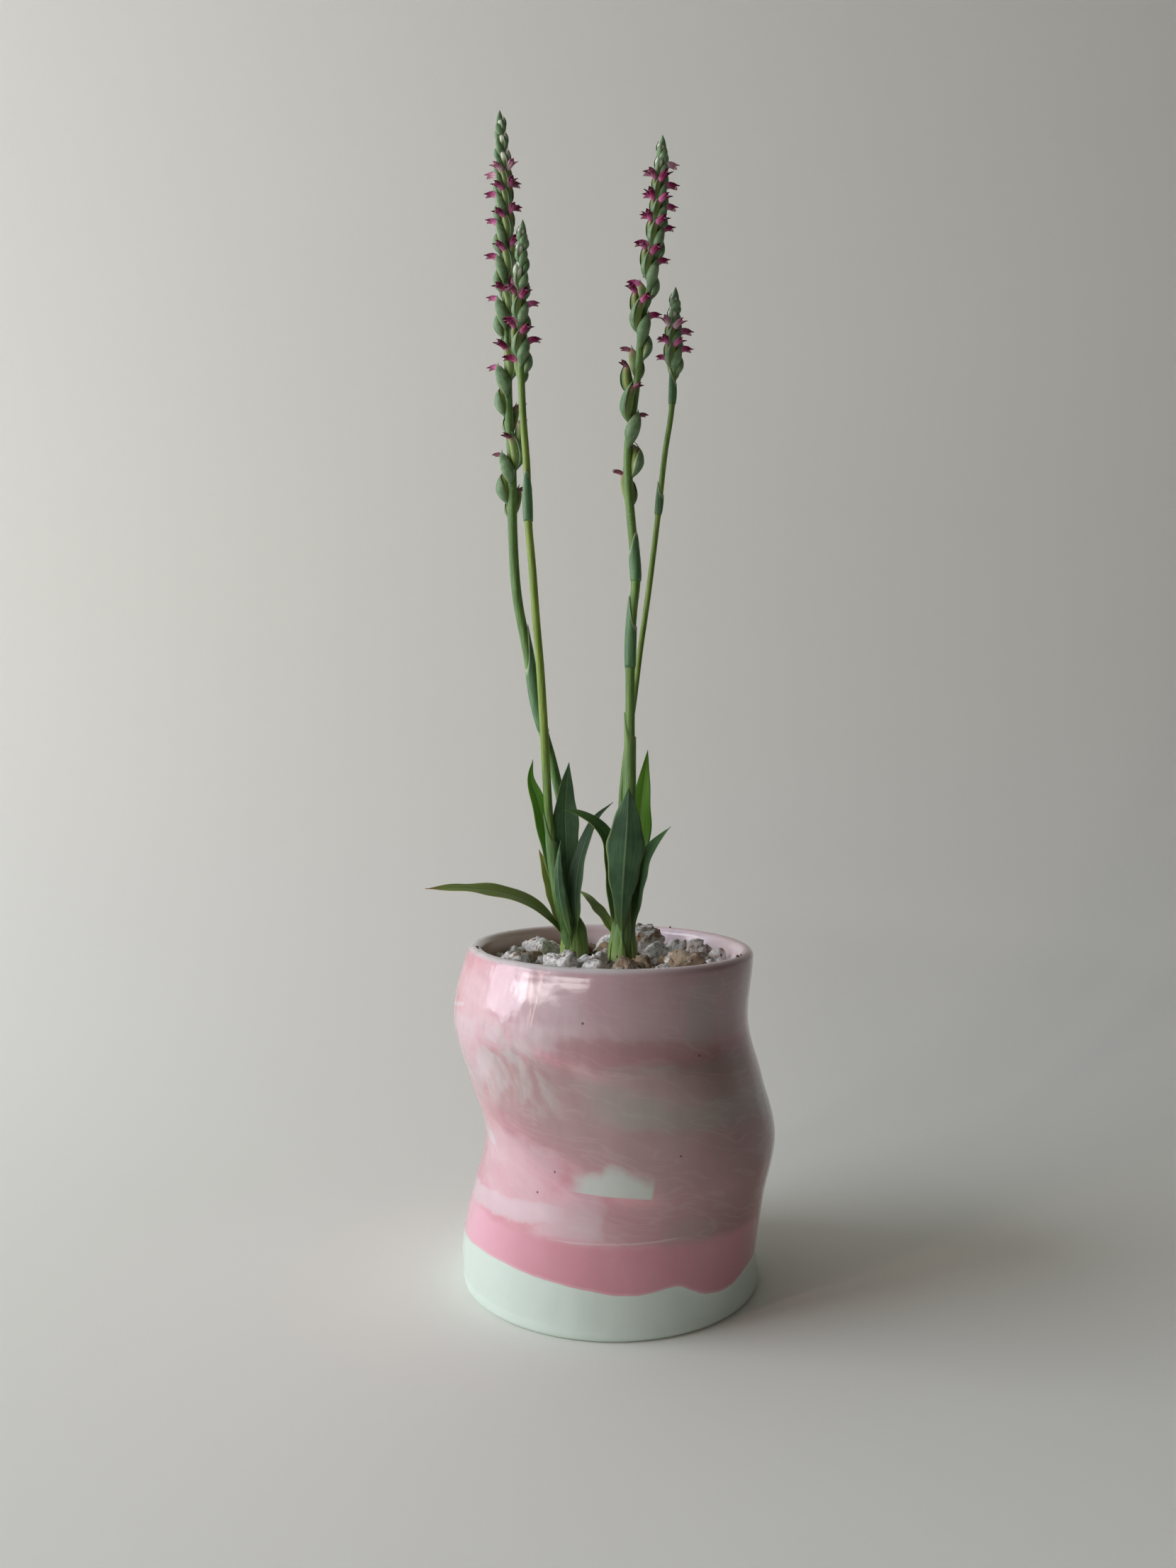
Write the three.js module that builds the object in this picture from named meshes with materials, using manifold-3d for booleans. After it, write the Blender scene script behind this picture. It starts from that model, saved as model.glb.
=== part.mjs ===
// Potted ladies tresses orchid: two leafy clumps and four spiral flower spikes, in a hand-built pot of
// marbled clay topped with pumice. Millimetres, +Z up, the origin at the centre of the pot's foot.
// The viewer of the front looks along +Y, with +X to the right.
import * as THREE from 'three';
import { mergeVertices } from 'three/addons/utils/BufferGeometryUtils.js';
import Module from 'manifold-3d';

const wasm = await Module();
wasm.setup();

// Air between neighbouring pieces, and round the mix, where the wavy wall's facets bend
const FIT_GAP = 0.3;
const MIX_GAP = 0.45;

// Pot: a round section swept along a centre line that waves from side to side
const POT_SIDES = 32;
const POT_CENTRE_LINE = [
  [0, 0, 0],
  [-0.7, 0.4, 10],
  [2.3, 1.0, 28],
  [6.0, 0.3, 46],
  [1.6, -1.0, 64],
  [-3.2, -0.5, 82],
  [0, 0, 105],
];
const FOOT_RADIUS = 45.2;
const FOOT_ROUNDING = 1.3;
const WALL = 5;
const CAVITY_FLOOR = 7;
const LIP_TILT = -0.012;
const LIP_HEIGHT = 104.6;
// Outside radius at each height, from just above the foot to just under the lip
const BODY_RADII = [
  [46.5, 1.3],
  [46.5, 10],
  [46.3, 19],
  [46.0, 28],
  [45.7, 37],
  [45.6, 46],
  [45.7, 55],
  [45.9, 64],
  [46.1, 73],
  [46.2, 82],
  [46.0, 91],
  [45.4, 99],
];
// The rounded lip, from the outside over the crest to the inside: radius, height
const LIP_ROUNDING = [
  [45.0, 102.8],
  [44.0, 104.2],
  [42.5, LIP_HEIGHT],
  [41.0, 104.0],
  [40.4, 102.3],
];

// Potting mix and the crowns' holes in it
const MIX_TOP = 92;
const CROWN_FOOT = 81;
const STALK_FOOT = 84;
const CROWN_RADIUS = 4.2;
const CROWN_TOP = 110;
const CROWN_SIDES = 14;

// Pumice: the lumps that show from the front as [x, y, radius, height], then a rule for the rest
const PUMICE_SEEN = [
  [-31.2, 16.0, 3.4, 9.0],
  [-22.5, 20.0, 5.4, 10.8],
  [-25.9, 8.0, 3.6, 9.0],
  [-15.0, -1.6, 5.7, 8.6],
  [-5.4, -1.4, 3.4, 8.4],
  [-1.0, 9.4, 3.3, 9.6],
  [1.8, -7.2, 3.0, 9.0],
  [10.0, -6.2, 5.0, 9.6],
  [11.9, 26.0, 4.6, 14.2],
  [14.6, 13.6, 3.6, 10.6],
  [19.4, -2.0, 4.3, 8.8],
  [22.4, 17.2, 3.5, 11.0],
  [29.2, 12.6, 3.6, 10.4],
  [27.3, 2.4, 4.0, 8.8],
  [34.2, 5.6, 2.9, 9.4],
];
const PUMICE_SEED = 23;
const PUMICE_MOST = 40;
const PUMICE_TRIES = 6000;
const PUMICE_RADII = [5.2, 3.1];
const PUMICE_SIDES = 6;

// Flower stalks
const STALK_SIDES = 7;
const UNITS_PER_TURN = 5;
// The bare stalk stops this far below the tip of its last bud.
const STALK_SHORT_OF_TIP = 3;
const OVARY_SIDES = 5;
// How far round the stalk an ovary twists as it rises, in radians
const OVARY_TWIST = 0.9;
// The buds of the first turns are still small and pressed together.
const YOUNG_TURNS = 2;
const JITTER_DEGREES = 10;
// Across an open floret, and one that is over
const FLORET_OPEN = 1.75;
const FLORET_WITHERED = 1.4;
// The shares of outwards, along the spiral and up in the way that a floret faces
const FLORET_FACING = [0.72, 0.66, 0.08];

// Leaves: where the blade's sections lie along the midrib, half the thickness of the midrib at its
// foot and on the blade, and of the blade's edge
const LEAF_STATIONS = [0, 0.2, 0.38, 0.54, 0.68, 0.82, 0.93];
const MIDRIB_HALF = [1.0, 0.42];
const LEAF_EDGE_HALF = 0.32;
const LEAF_LEAST_HALF_WIDTH = 0.4;

const COLOURS = {
  clay: 0xe2b4bd,
  mix: 0x4a3a2c,
  pumice: 0xcfc9c0,
  leaf: 0x3f6a45,
  stalk: 0x6f9350,
};

// Shapes

// A repeatable random draw between 0 and 1.
function seeded(seed) {
  let state = seed;
  return () => {
    state = (state + 0x6d2b79f5) | 0;
    let mixed = Math.imul(state ^ (state >>> 15), 1 | state);
    mixed = (mixed + Math.imul(mixed ^ (mixed >>> 7), 61 | mixed)) ^ mixed;
    return ((mixed ^ (mixed >>> 14)) >>> 0) / 4294967296;
  };
}

// A line that climbs through points [x, y, z], read at any height.
function climbing(points) {
  const heights = points.map((point) => point[2]);
  const places = points.flatMap((point) => [point[0], point[1]]);
  const fit = new THREE.CubicInterpolant(heights, places, 2);
  return (z) => {
    const [x, y] = fit.evaluate(z);
    return new THREE.Vector3(x, y, z);
  };
}

// A ring of points, one for each angle round the whole circle.
function ring(sides, pointAt) {
  return Array.from({ length: sides }, (_, k) => pointAt((2 * Math.PI * k) / sides));
}

// A closed skin over rings of points, drawn together to one point at each end. On a blade the quads of
// the underside are split the other way, so both faces have their folds in the same places.
function loft(rings, startPoint, endPoint, isBlade = false) {
  const sides = rings[0].length;
  const points = [startPoint, ...rings.flat(), endPoint];
  const last = points.length - 1;
  const faces = [];
  const at = (row, k) => 1 + row * sides + (k % sides);
  for (let k = 0; k < sides; k += 1) {
    faces.push(0, at(0, k + 1), at(0, k));
    faces.push(last, at(rings.length - 1, k), at(rings.length - 1, k + 1));
    for (let row = 0; row + 1 < rings.length; row += 1) {
      const [a, b, c, d] = [at(row, k), at(row, k + 1), at(row + 1, k + 1), at(row + 1, k)];
      if (isBlade && k >= sides / 2) faces.push(a, b, d, b, c, d);
      else faces.push(a, b, c, a, c, d);
    }
  }
  const geometry = new THREE.BufferGeometry().setFromPoints(points);
  geometry.setIndex(faces);
  return geometry;
}

// A closed geometry as a solid for joins and cuts, turned face out.
function solid(geometry) {
  const merged = mergeVertices(geometry, 1e-4);
  const triVerts = new Uint32Array(merged.index.array);
  const vertProperties = new Float32Array(merged.getAttribute('position').array);
  const made = new wasm.Manifold(new wasm.Mesh({ numProp: 3, vertProperties, triVerts }));
  if (made.volume() > 0) return made;
  for (let i = 0; i < triVerts.length; i += 3) {
    [triVerts[i], triVerts[i + 1]] = [triVerts[i + 1], triVerts[i]];
  }
  return new wasm.Manifold(new wasm.Mesh({ numProp: 3, vertProperties, triVerts }));
}

// The largest body of a solid, without the loose scraps that a cut can leave.
function mainBody(whole) {
  const bodies = whole.decompose();
  return bodies.reduce((best, body) => (body.volume() > best.volume() ? body : best));
}

const joined = (solids) => solids.reduce((all, next) => all.add(next));

function geometryOf(whole) {
  const mesh = whole.getMesh();
  const geometry = new THREE.BufferGeometry();
  geometry.setAttribute('position', new THREE.BufferAttribute(new Float32Array(mesh.vertProperties), 3));
  geometry.setIndex([...mesh.triVerts]);
  return geometry;
}

const part = new THREE.Group();

function place(name, whole, color, roughness) {
  const geometry = geometryOf(whole);
  geometry.computeVertexNormals();
  const material = new THREE.MeshStandardMaterial({ color, roughness, metalness: 0 });
  const mesh = new THREE.Mesh(geometry, material);
  mesh.name = name;
  part.add(mesh);
}

// Pot

const potCentre = climbing(POT_CENTRE_LINE);

// One level ring of the pot; towards the lip it tips down a little to the right.
function potRing(radius, z) {
  const centre = potCentre(z);
  const tip = LIP_TILT * Math.pow(z / LIP_HEIGHT, 6);
  return ring(POT_SIDES, (angle) => {
    const x = centre.x + radius * Math.cos(angle);
    const y = centre.y + radius * Math.sin(angle);
    return new THREE.Vector3(x, y, z + tip * (x - centre.x));
  });
}

function makePot() {
  const foot = [[FOOT_RADIUS, 0]];
  const inside = BODY_RADII.filter(([, z]) => z > CAVITY_FLOOR).reverse();
  const cavity = inside.map(([radius, z]) => [radius - WALL, z]);
  const floorEdge = [[BODY_RADII[0][0] - WALL - FOOT_ROUNDING, CAVITY_FLOOR]];
  const profile = [...foot, ...BODY_RADII, ...LIP_ROUNDING, ...cavity, ...floorEdge];
  const rings = profile.map(([radius, z]) => potRing(radius, z));
  const floorCentre = potCentre(CAVITY_FLOOR);
  return solid(loft(rings, potCentre(0), floorCentre));
}

// Flower stalks and their sheaths

// Each stalk climbs through points [x, y, z] from its crown. Its spiral of flowers passes the same side
// once a turn, at the heights in turns, from the tip down; firstAngle is that side in degrees, and hand
// says which way the spiral goes round on its way down. open is the share of the way down where flowers
// begin to open, and withered where they are over.
const STALKS = {
  left_tall_spike: {
    line: [
      [-10.4, 12.2, 82], [-10.9, 12.2, 101], [-12.8, 12.6, 122], [-15.2, 12.8, 145], [-19.2, 13, 163],
      [-23.7, 13, 179], [-27.0, 12.8, 198], [-30.3, 12.4, 216], [-31.6, 12, 235], [-31.9, 12, 257],
      [-32.9, 12, 276], [-33.2, 12, 294], [-33.9, 12, 311],
      [-34.2, 12, 329], [-34.6, 12, 346], [-35.6, 12, 370],
    ],
    baseRadius: 1.4,
    spikeRadius: 1.3,
    tipRadius: 0.7,
    turns: [369.5, 364, 358, 352.6, 347, 339, 328.7, 316.7, 300, 272, 246],
    firstAngle: -20,
    hand: -1,
    length: [4.6, 10.0],
    width: [2.2, 4.4],
    open: 0.3,
    withered: 0.86,
    sheaths: [{ from: 172, to: 207, side: -10 }],
  },
  left_short_spike: {
    line: [
      [-12.3, 8.9, 82], [-12.9, 8.8, 100], [-15.6, 7.6, 115], [-17.9, 6.8, 129], [-19.6, 5.8, 143],
      [-20.7, 4.6, 161], [-21.4, 3.6, 175], [-22.5, 3, 193], [-23.6, 2.6, 206], [-24.9, 2.2, 224],
      [-26.1, 2, 238], [-26.6, 2, 255], [-27.9, 2, 273], [-28.4, 2, 290], [-28.2, 2, 310], [-27.7, 2, 331],
    ],
    baseRadius: 1.3,
    spikeRadius: 1.0,
    tipRadius: 0.6,
    turns: [330.5, 325, 318, 309.5, 299, 287],
    firstAngle: 200,
    hand: 1,
    length: [4.4, 8.6],
    width: [2.1, 3.5],
    open: 0.5,
    withered: 2,
    sheaths: [{ from: 238, to: 254, side: 265 }],
  },
  right_tall_spike: {
    line: [
      [4.6, 0.4, 82], [4.4, 0.2, 103], [4.4, 0, 116], [5.1, 0, 134], [5.8, 0, 152], [6.0, 0, 179],
      [6.1, 0, 200], [6.8, 0, 210], [7.7, 0, 219], [7.1, 0, 228],
      [6.3, 0, 237], [5.2, 0, 250], [5.3, 0, 262],
      [6.8, 0, 272], [8.4, 0, 285], [9.4, 0, 298], [12.0, 0, 311],
      [14.1, 0, 324], [15.2, 0, 339], [15.9, 0, 355.5],
    ],
    baseRadius: 1.4,
    spikeRadius: 1.3,
    tipRadius: 0.7,
    turns: [355.5, 350.5, 344, 337.5, 331, 322.5, 309, 286, 245],
    firstAngle: 200,
    hand: 1,
    length: [4.6, 10.5],
    width: [2.2, 4.6],
    open: 0.2,
    withered: 0.8,
    sheaths: [
      { from: 192, to: 214.5, side: 190 },
      { from: 219, to: 234, side: -50 },
    ],
  },
  right_short_spike: {
    line: [
      [2.9, 4.3, 82], [2.8, 4.8, 101], [2.7, 5.6, 116], [2.9, 6, 134], [3.6, 6, 152], [5.1, 6, 166],
      [7.3, 6.4, 181], [9.3, 7, 197], [12.0, 7.8, 216], [15.3, 8, 243], [17.3, 8, 261], [19.3, 8, 274],
      [19.9, 8, 285], [20.0, 8, 297], [20.6, 8, 312.5],
    ],
    baseRadius: 1.15,
    spikeRadius: 0.95,
    tipRadius: 0.6,
    turns: [312, 306, 299, 290.5, 281],
    firstAngle: 200,
    hand: 1,
    length: [4.2, 7.6],
    width: [2.0, 3.2],
    open: 0.62,
    withered: 2,
    sheaths: [{ from: 241.5, to: 252, side: 175 }],
  },
};

// The stalk's round body, or the space round it when it is grown by a gap.
function stalkBody(stalk, grow) {
  const axis = climbing(stalk.line);
  const top = stalk.turns[0];
  const spikeFoot = stalk.turns[stalk.turns.length - 1];
  const heights = stalk.line.map((point) => point[2]);
  const levels = [...heights];
  const end = top - STALK_SHORT_OF_TIP;
  levels[0] = STALK_FOOT - grow;
  levels[levels.length - 1] = end;
  const rings = levels.map((z) => {
    const centre = axis(z);
    const inSpike = THREE.MathUtils.clamp((z - spikeFoot) / (top - spikeFoot), 0, 1);
    const climbed = (z - STALK_FOOT) / spikeFoot;
    const below = THREE.MathUtils.lerp(stalk.baseRadius, stalk.spikeRadius, climbed);
    const radius = THREE.MathUtils.lerp(below, stalk.tipRadius, inSpike) + grow;
    return ring(STALK_SIDES, (angle) => centre.clone().add(
      new THREE.Vector3(radius * Math.cos(angle), radius * Math.sin(angle), 0),
    ));
  });
  return solid(loft(rings, axis(levels[0]), axis(end + 0.5 * stalk.tipRadius)));
}

// A green sheath round the stalk: a ring at its node, a slack tube above, and a pointed tip to one side.
function sheath(stalk, { from, to, side }) {
  const axis = climbing(stalk.line);
  const tall = to - from;
  const angle = side * THREE.MathUtils.DEG2RAD;
  const toSide = new THREE.Vector3(Math.cos(angle), Math.sin(angle), 0);
  // Share of its height, slack over the stalk's radius, and shift to that side
  const stations = [
    [0, 0.2, 0],
    [0.04, 0.35, 0],
    [0.4, 0.38, 0.12],
    [0.72, 0.05, 0.55],
    [0.9, -0.55, 1.2],
  ];
  const rings = stations.map(([share, slack, shift]) => {
    const centre = axis(from + tall * share).addScaledVector(toSide, shift);
    const radius = stalk.baseRadius + slack;
    return ring(STALK_SIDES, (turn) => centre.clone().add(
      new THREE.Vector3(radius * Math.cos(turn), radius * Math.sin(turn), 0),
    ));
  });
  const tip = axis(to).addScaledVector(toSide, stalk.baseRadius + 0.6);
  return solid(loft(rings, axis(from), tip));
}

// Flowers

// The directions at one place on a stalk: out from it, and round it the way that the spiral descends.
function directions(angle, hand) {
  return {
    out: new THREE.Vector3(Math.cos(angle), Math.sin(angle), 0),
    round: new THREE.Vector3(-Math.sin(angle) * hand, Math.cos(angle) * hand, 0),
    up: new THREE.Vector3(0, 0, 1),
  };
}

// A point given by its distances along those directions.
function offset(from, { out, round, up }, outwards, along, upwards) {
  return from.clone()
    .addScaledVector(out, outwards)
    .addScaledVector(round, along)
    .addScaledVector(up, upwards);
}

// A ring of points round a centre, square to the direction that it faces.
function facingRing(centre, facing, up, spokes) {
  const side = new THREE.Vector3().crossVectors(facing, up).normalize();
  const rise = new THREE.Vector3().crossVectors(side, facing).normalize();
  return spokes.map(([angle, radius, forward = 0]) => centre.clone()
    .addScaledVector(rise, radius * Math.cos(angle))
    .addScaledVector(side, radius * Math.sin(angle))
    .addScaledVector(facing, forward));
}

// Ovary and bract together: a plump pointed body that hugs the stalk and twists round it along the
// spiral as it rises, so that its tip comes to the angle of the flower.
function ovary(foot, flower) {
  const { angle, hand, stalkRadius, length, width, reach } = flower;
  const wayAt = (share) => directions(angle - hand * OVARY_TWIST * (1 - share * share), hand);
  const stations = [
    [0.34, 0.5, 0.4],
    [0.74, 0.44, 0.46],
  ];
  const rings = stations.map(([share, girth, away]) => {
    const way = wayAt(share);
    const centre = offset(foot, way, (stalkRadius + away * width) * reach, 0, length * share);
    return ring(OVARY_SIDES, (turn) => offset(
      centre, way, girth * width * 0.88 * Math.cos(turn), girth * width * Math.sin(turn), 0,
    ));
  });
  const tip = offset(foot, wayAt(1), (stalkRadius + 0.36 * width) * reach, 0, length);
  return solid(loft(rings, offset(foot, wayAt(0), stalkRadius * 0.4, 0, -0.04 * length), tip));
}

// The small bent flower at the top of an ovary: a tube, a hood point above, and the lip below.
function floret(foot, flower, size) {
  const { angle, hand, stalkRadius, length, width, reach } = flower;
  const way = directions(angle, hand);
  const throat = offset(foot, way, (stalkRadius + 0.42 * width) * reach, 0, 0.9 * length);
  const facing = offset(new THREE.Vector3(), way, ...FLORET_FACING).normalize();
  const mouth = offset(throat, way, 0, 0, 0.35 * size).addScaledVector(facing, 1.75 * size);
  // Each spoke is an angle from the top, a radius and a reach forwards.
  const quarter = Math.PI / 2;
  const tube = [0, 1, 2, 3].map((k) => [k * quarter, 0.42 * size]);
  const tepals = [
    [0, 0.45 * size, 0.45 * size],
    [quarter, 0.75 * size, 0.1 * size],
    [2 * quarter, 0.62 * size, 0.45 * size],
    [3 * quarter, 0.75 * size, 0.1 * size],
  ];
  const rings = [facingRing(throat, facing, way.up, tube), facingRing(mouth, facing, way.up, tepals)];
  const inner = throat.clone().addScaledVector(facing, -0.3 * size);
  return solid(loft(rings, inner, mouth.clone().addScaledVector(facing, -0.15 * size)));
}

// All flowers of one stalk, from the tip down. They follow the turns of the spiral, grow longer and
// plumper downwards, and are buds at the top.
function flowers(stalk, random) {
  const axis = climbing(stalk.line);
  const last = stalk.turns.length - 1;
  const turnHeight = new THREE.CubicInterpolant(stalk.turns.map((_, i) => i), stalk.turns, 1);
  const made = [];
  for (let i = 0; i < last * UNITS_PER_TURN; i += 1) {
    const turn = i / UNITS_PER_TURN;
    const down = turn / last;
    const young = Math.min(1, turn / YOUNG_TURNS);
    const full = (range, least) => (
      THREE.MathUtils.lerp(...range, down) * THREE.MathUtils.lerp(least, 1, young)
    );
    const degrees = stalk.firstAngle + stalk.hand * (360 * turn + JITTER_DEGREES * (random() - 0.5));
    const flower = {
      angle: degrees * THREE.MathUtils.DEG2RAD,
      hand: stalk.hand,
      stalkRadius: THREE.MathUtils.lerp(stalk.tipRadius, stalk.spikeRadius, down),
      length: full(stalk.length, 0.85) * (0.94 + 0.12 * random()),
      width: full(stalk.width, 0.7) * (0.94 + 0.12 * random()),
      reach: THREE.MathUtils.lerp(0.35, 1, young),
    };
    const foot = axis(turnHeight.evaluate(turn)[0] - flower.length);
    made.push(ovary(foot, flower));
    if (down < stalk.open) continue;
    made.push(floret(foot, flower, down > stalk.withered ? FLORET_WITHERED : FLORET_OPEN));
  }
  return made;
}

// The tip of the spike: one pointed bud on the axis.
function tipBud(stalk) {
  const axis = climbing(stalk.line);
  const top = stalk.turns[0];
  // Height from the tip, and radius
  const stations = [
    [-5.2, 0.75],
    [-3, 1.15],
    [-1.1, 0.75],
  ];
  const rings = stations.map(([dz, radius]) => {
    const centre = axis(top + dz);
    return ring(OVARY_SIDES, (angle) => centre.clone().add(
      new THREE.Vector3(radius * Math.cos(angle), radius * Math.sin(angle), 0),
    ));
  });
  return solid(loft(rings, axis(top - 6.4), axis(top + 0.8)));
}

function makeSpike(stalk, seed) {
  const random = seeded(seed);
  const sheaths = stalk.sheaths.map((one) => sheath(stalk, one));
  return joined([stalkBody(stalk, 0), tipBud(stalk), ...sheaths, ...flowers(stalk, random)]);
}

// Leaves

// One leaf: a channelled blade along a midrib, narrow at its foot, widest part way up and pointed. The
// midrib climbs through points [x, y, z], and facing is the side that its upper face looks to.
function leaf({ midrib, width, facing, foot = 0.3, widest = 0.6, cup = 0.22, point = 1.6 }) {
  const points = midrib.map((xyz) => new THREE.Vector3(...xyz));
  const curve = new THREE.CatmullRomCurve3(points, false, 'centripetal');
  const face = new THREE.Vector3(...facing).normalize();
  const rings = LEAF_STATIONS.map((share) => {
    const centre = curve.getPointAt(share);
    const along = curve.getTangentAt(share);
    const side = new THREE.Vector3().crossVectors(along, face).normalize();
    const normal = new THREE.Vector3().crossVectors(side, along).normalize();
    const rise = THREE.MathUtils.smoothstep(share, 0.05, widest);
    const fall = 1 - Math.pow(Math.max(0, share - widest) / (1 - widest), point);
    const fullness = share < widest ? foot + (1 - foot) * rise : fall;
    const half = Math.max(LEAF_LEAST_HALF_WIDTH, 0.5 * width * fullness);
    const thick = THREE.MathUtils.lerp(...MIDRIB_HALF, Math.min(1, share * 2));
    const lift = cup * half * Math.min(1, share * 3);
    return [
      [-half, lift + LEAF_EDGE_HALF],
      [0, thick],
      [half, lift + LEAF_EDGE_HALF],
      [half, lift - LEAF_EDGE_HALF],
      [0, -thick],
      [-half, lift - LEAF_EDGE_HALF],
    ].map(([across, out]) => centre.clone().addScaledVector(side, across).addScaledVector(normal, out));
  });
  return solid(loft(rings, curve.getPointAt(0), curve.getPointAt(1), true));
}

// A clump's leaves, by place. The midribs start inside the crown.
const LEFT_CROWN = [-11.3, 10.5];
const LEFT_LEAVES = {
  lowArch: {
    midrib: [
      [-12, 9.6, 101], [-17, 8, 108.5], [-25, 5.5, 115.4],
      [-35, 3, 119], [-48, 0.5, 120.6], [-59, -1, 120.8],
    ],
    width: 7.0, facing: [0.25, -0.5, 1], foot: 0.45, widest: 0.5,
  },
  curledSheath: {
    midrib: [
      [-13.6, 6.2, 104], [-17.6, 4.4, 122], [-20.4, 4.2, 136],
      [-23.3, 4, 149], [-25.7, 3.6, 157], [-24.9, 3, 163],
    ],
    width: 4.6, facing: [1, 0.25, 0.2], foot: 0.7, widest: 0.45,
  },
  behindSheath: {
    midrib: [
      [-13.4, 10.6, 100], [-17.6, 10, 121], [-20.4, 9.4, 137],
      [-22.6, 9.2, 147.5], [-24.2, 9, 153.6],
    ],
    width: 4.6, facing: [0.3, -1, 0.3], foot: 0.5, widest: 0.5,
  },
  brownTip: {
    midrib: [[-13.6, 10.2, 101], [-18.4, 9, 117], [-21.2, 8.4, 127.5], [-22.6, 8, 134]],
    width: 3.2, facing: [0.9, -0.4, 0.3], foot: 0.6, widest: 0.5,
  },
  smallFront: {
    midrib: [[-12, 6.8, 102], [-16, 4.2, 118], [-16.8, 3.2, 129], [-15.9, 2.8, 137.5]],
    width: 4, facing: [0.5, 1, 0.2], foot: 0.6, widest: 0.5,
  },
  tallCentre: {
    midrib: [
      [-11.4, 8.4, 101], [-13.4, 8.6, 121], [-14.2, 8.4, 134],
      [-14.6, 7.8, 145], [-14.2, 7.4, 155], [-13.4, 7, 162],
    ],
    width: 7.8, facing: [0.15, -1, 0.2], foot: 0.35, widest: 0.68, point: 1.4,
  },
  rightArch: {
    midrib: [
      [-10, 8, 101], [-11, 5.6, 115], [-10.4, 5.4, 128],
      [-7.6, 6, 138], [-4.4, 7, 144.4], [0.8, 8.4, 149.2],
    ],
    width: 6.4, facing: [-0.8, -0.9, 0.4], foot: 0.5, widest: 0.5,
  },
};
const RIGHT_CROWN = [3.7, 2.4];
const RIGHT_LEAVES = {
  broadFront: {
    midrib: [
      [4, -0.4, 101], [3.2, -3.4, 113], [3.6, -6.4, 126],
      [4.4, -7.4, 138], [5, -7.2, 148], [5.4, -6.4, 154.2],
    ],
    width: 11.2, facing: [0.05, 1, 0.1], foot: 0.3, widest: 0.56, cup: 0.16, point: 1.9,
  },
  brightBack: {
    midrib: [[5.4, 4.6, 101], [7.6, 6.4, 121], [9.1, 7.2, 138], [10.3, 8, 152], [12, 9, 166]],
    width: 5.8, facing: [-0.2, -1, 0.2], foot: 0.4, widest: 0.58,
  },
  rightLean: {
    midrib: [
      [6, 1.4, 101], [7.6, 0.8, 118], [9.6, 0.4, 127.5],
      [12.6, -0.6, 134.8], [15.6, -1.8, 138.8], [18.6, -3, 142],
    ],
    width: 5.8, facing: [-0.6, -0.9, 0.5], foot: 0.5, widest: 0.5,
  },
  leftLean: {
    midrib: [
      [1.6, 2.6, 102], [0.4, 1.8, 122], [-0.6, 0.2, 136.5],
      [-4.6, -0.6, 142.6], [-10.4, -1.4, 146.2], [-15, -2.2, 147.2],
    ],
    width: 6.2, facing: [0.4, -0.8, 0.7], foot: 0.45, widest: 0.62,
  },
  lowBack: {
    midrib: [
      [1.2, 4.4, 101], [-0.4, 6.2, 109.5], [-4.4, 11.4, 114.6],
      [-7.8, 16.6, 117.8], [-11, 21.4, 119.4],
    ],
    width: 5.4, facing: [0.4, -0.2, 1], foot: 0.5, widest: 0.5,
  },
};
// The sheath that wraps the left short stalk above its crown: height, radius
const STALK_SHEATH = [
  [99, 2.6],
  [112, 2.6],
  [126, 2.5],
  [138, 2.4],
  [144, 2.3],
];
const SHEATH_MOUTH_SLANT = 5;

function crown([x, y]) {
  const stations = [
    [CROWN_RADIUS, CROWN_FOOT],
    [CROWN_RADIUS, 99],
    [CROWN_RADIUS - 0.4, 104],
    [CROWN_RADIUS - 1.6, CROWN_TOP],
  ];
  const rings = stations.map(([radius, z]) => ring(CROWN_SIDES, (angle) => new THREE.Vector3(
    x + radius * Math.cos(angle), y + radius * Math.sin(angle), z,
  )));
  return solid(loft(rings, new THREE.Vector3(x, y, CROWN_FOOT), new THREE.Vector3(x, y, CROWN_TOP)));
}

function stalkSheath(stalk) {
  const axis = climbing(stalk.line);
  const last = STALK_SHEATH.length - 1;
  const rings = STALK_SHEATH.map(([z, radius], i) => {
    const centre = axis(z);
    const slant = i === last ? SHEATH_MOUTH_SLANT : 0;
    return ring(STALK_SIDES, (angle) => centre.clone().add(
      new THREE.Vector3(radius * Math.cos(angle), radius * Math.sin(angle), -slant * Math.cos(angle)),
    ));
  });
  return solid(loft(rings, axis(STALK_SHEATH[0][0]), axis(STALK_SHEATH[last][0])));
}

// Crown and leaves in one body, with clear bores for the stalks that climb through it.
function makeLeafyCrown(centre, leaves, stalks, extra = []) {
  const grown = joined([crown(centre), ...Object.values(leaves).map(leaf), ...extra]);
  const bored = stalks.reduce((rest, stalk) => rest.subtract(stalkBody(stalk, FIT_GAP)), grown);
  return mainBody(bored);
}

// Potting mix

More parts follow.
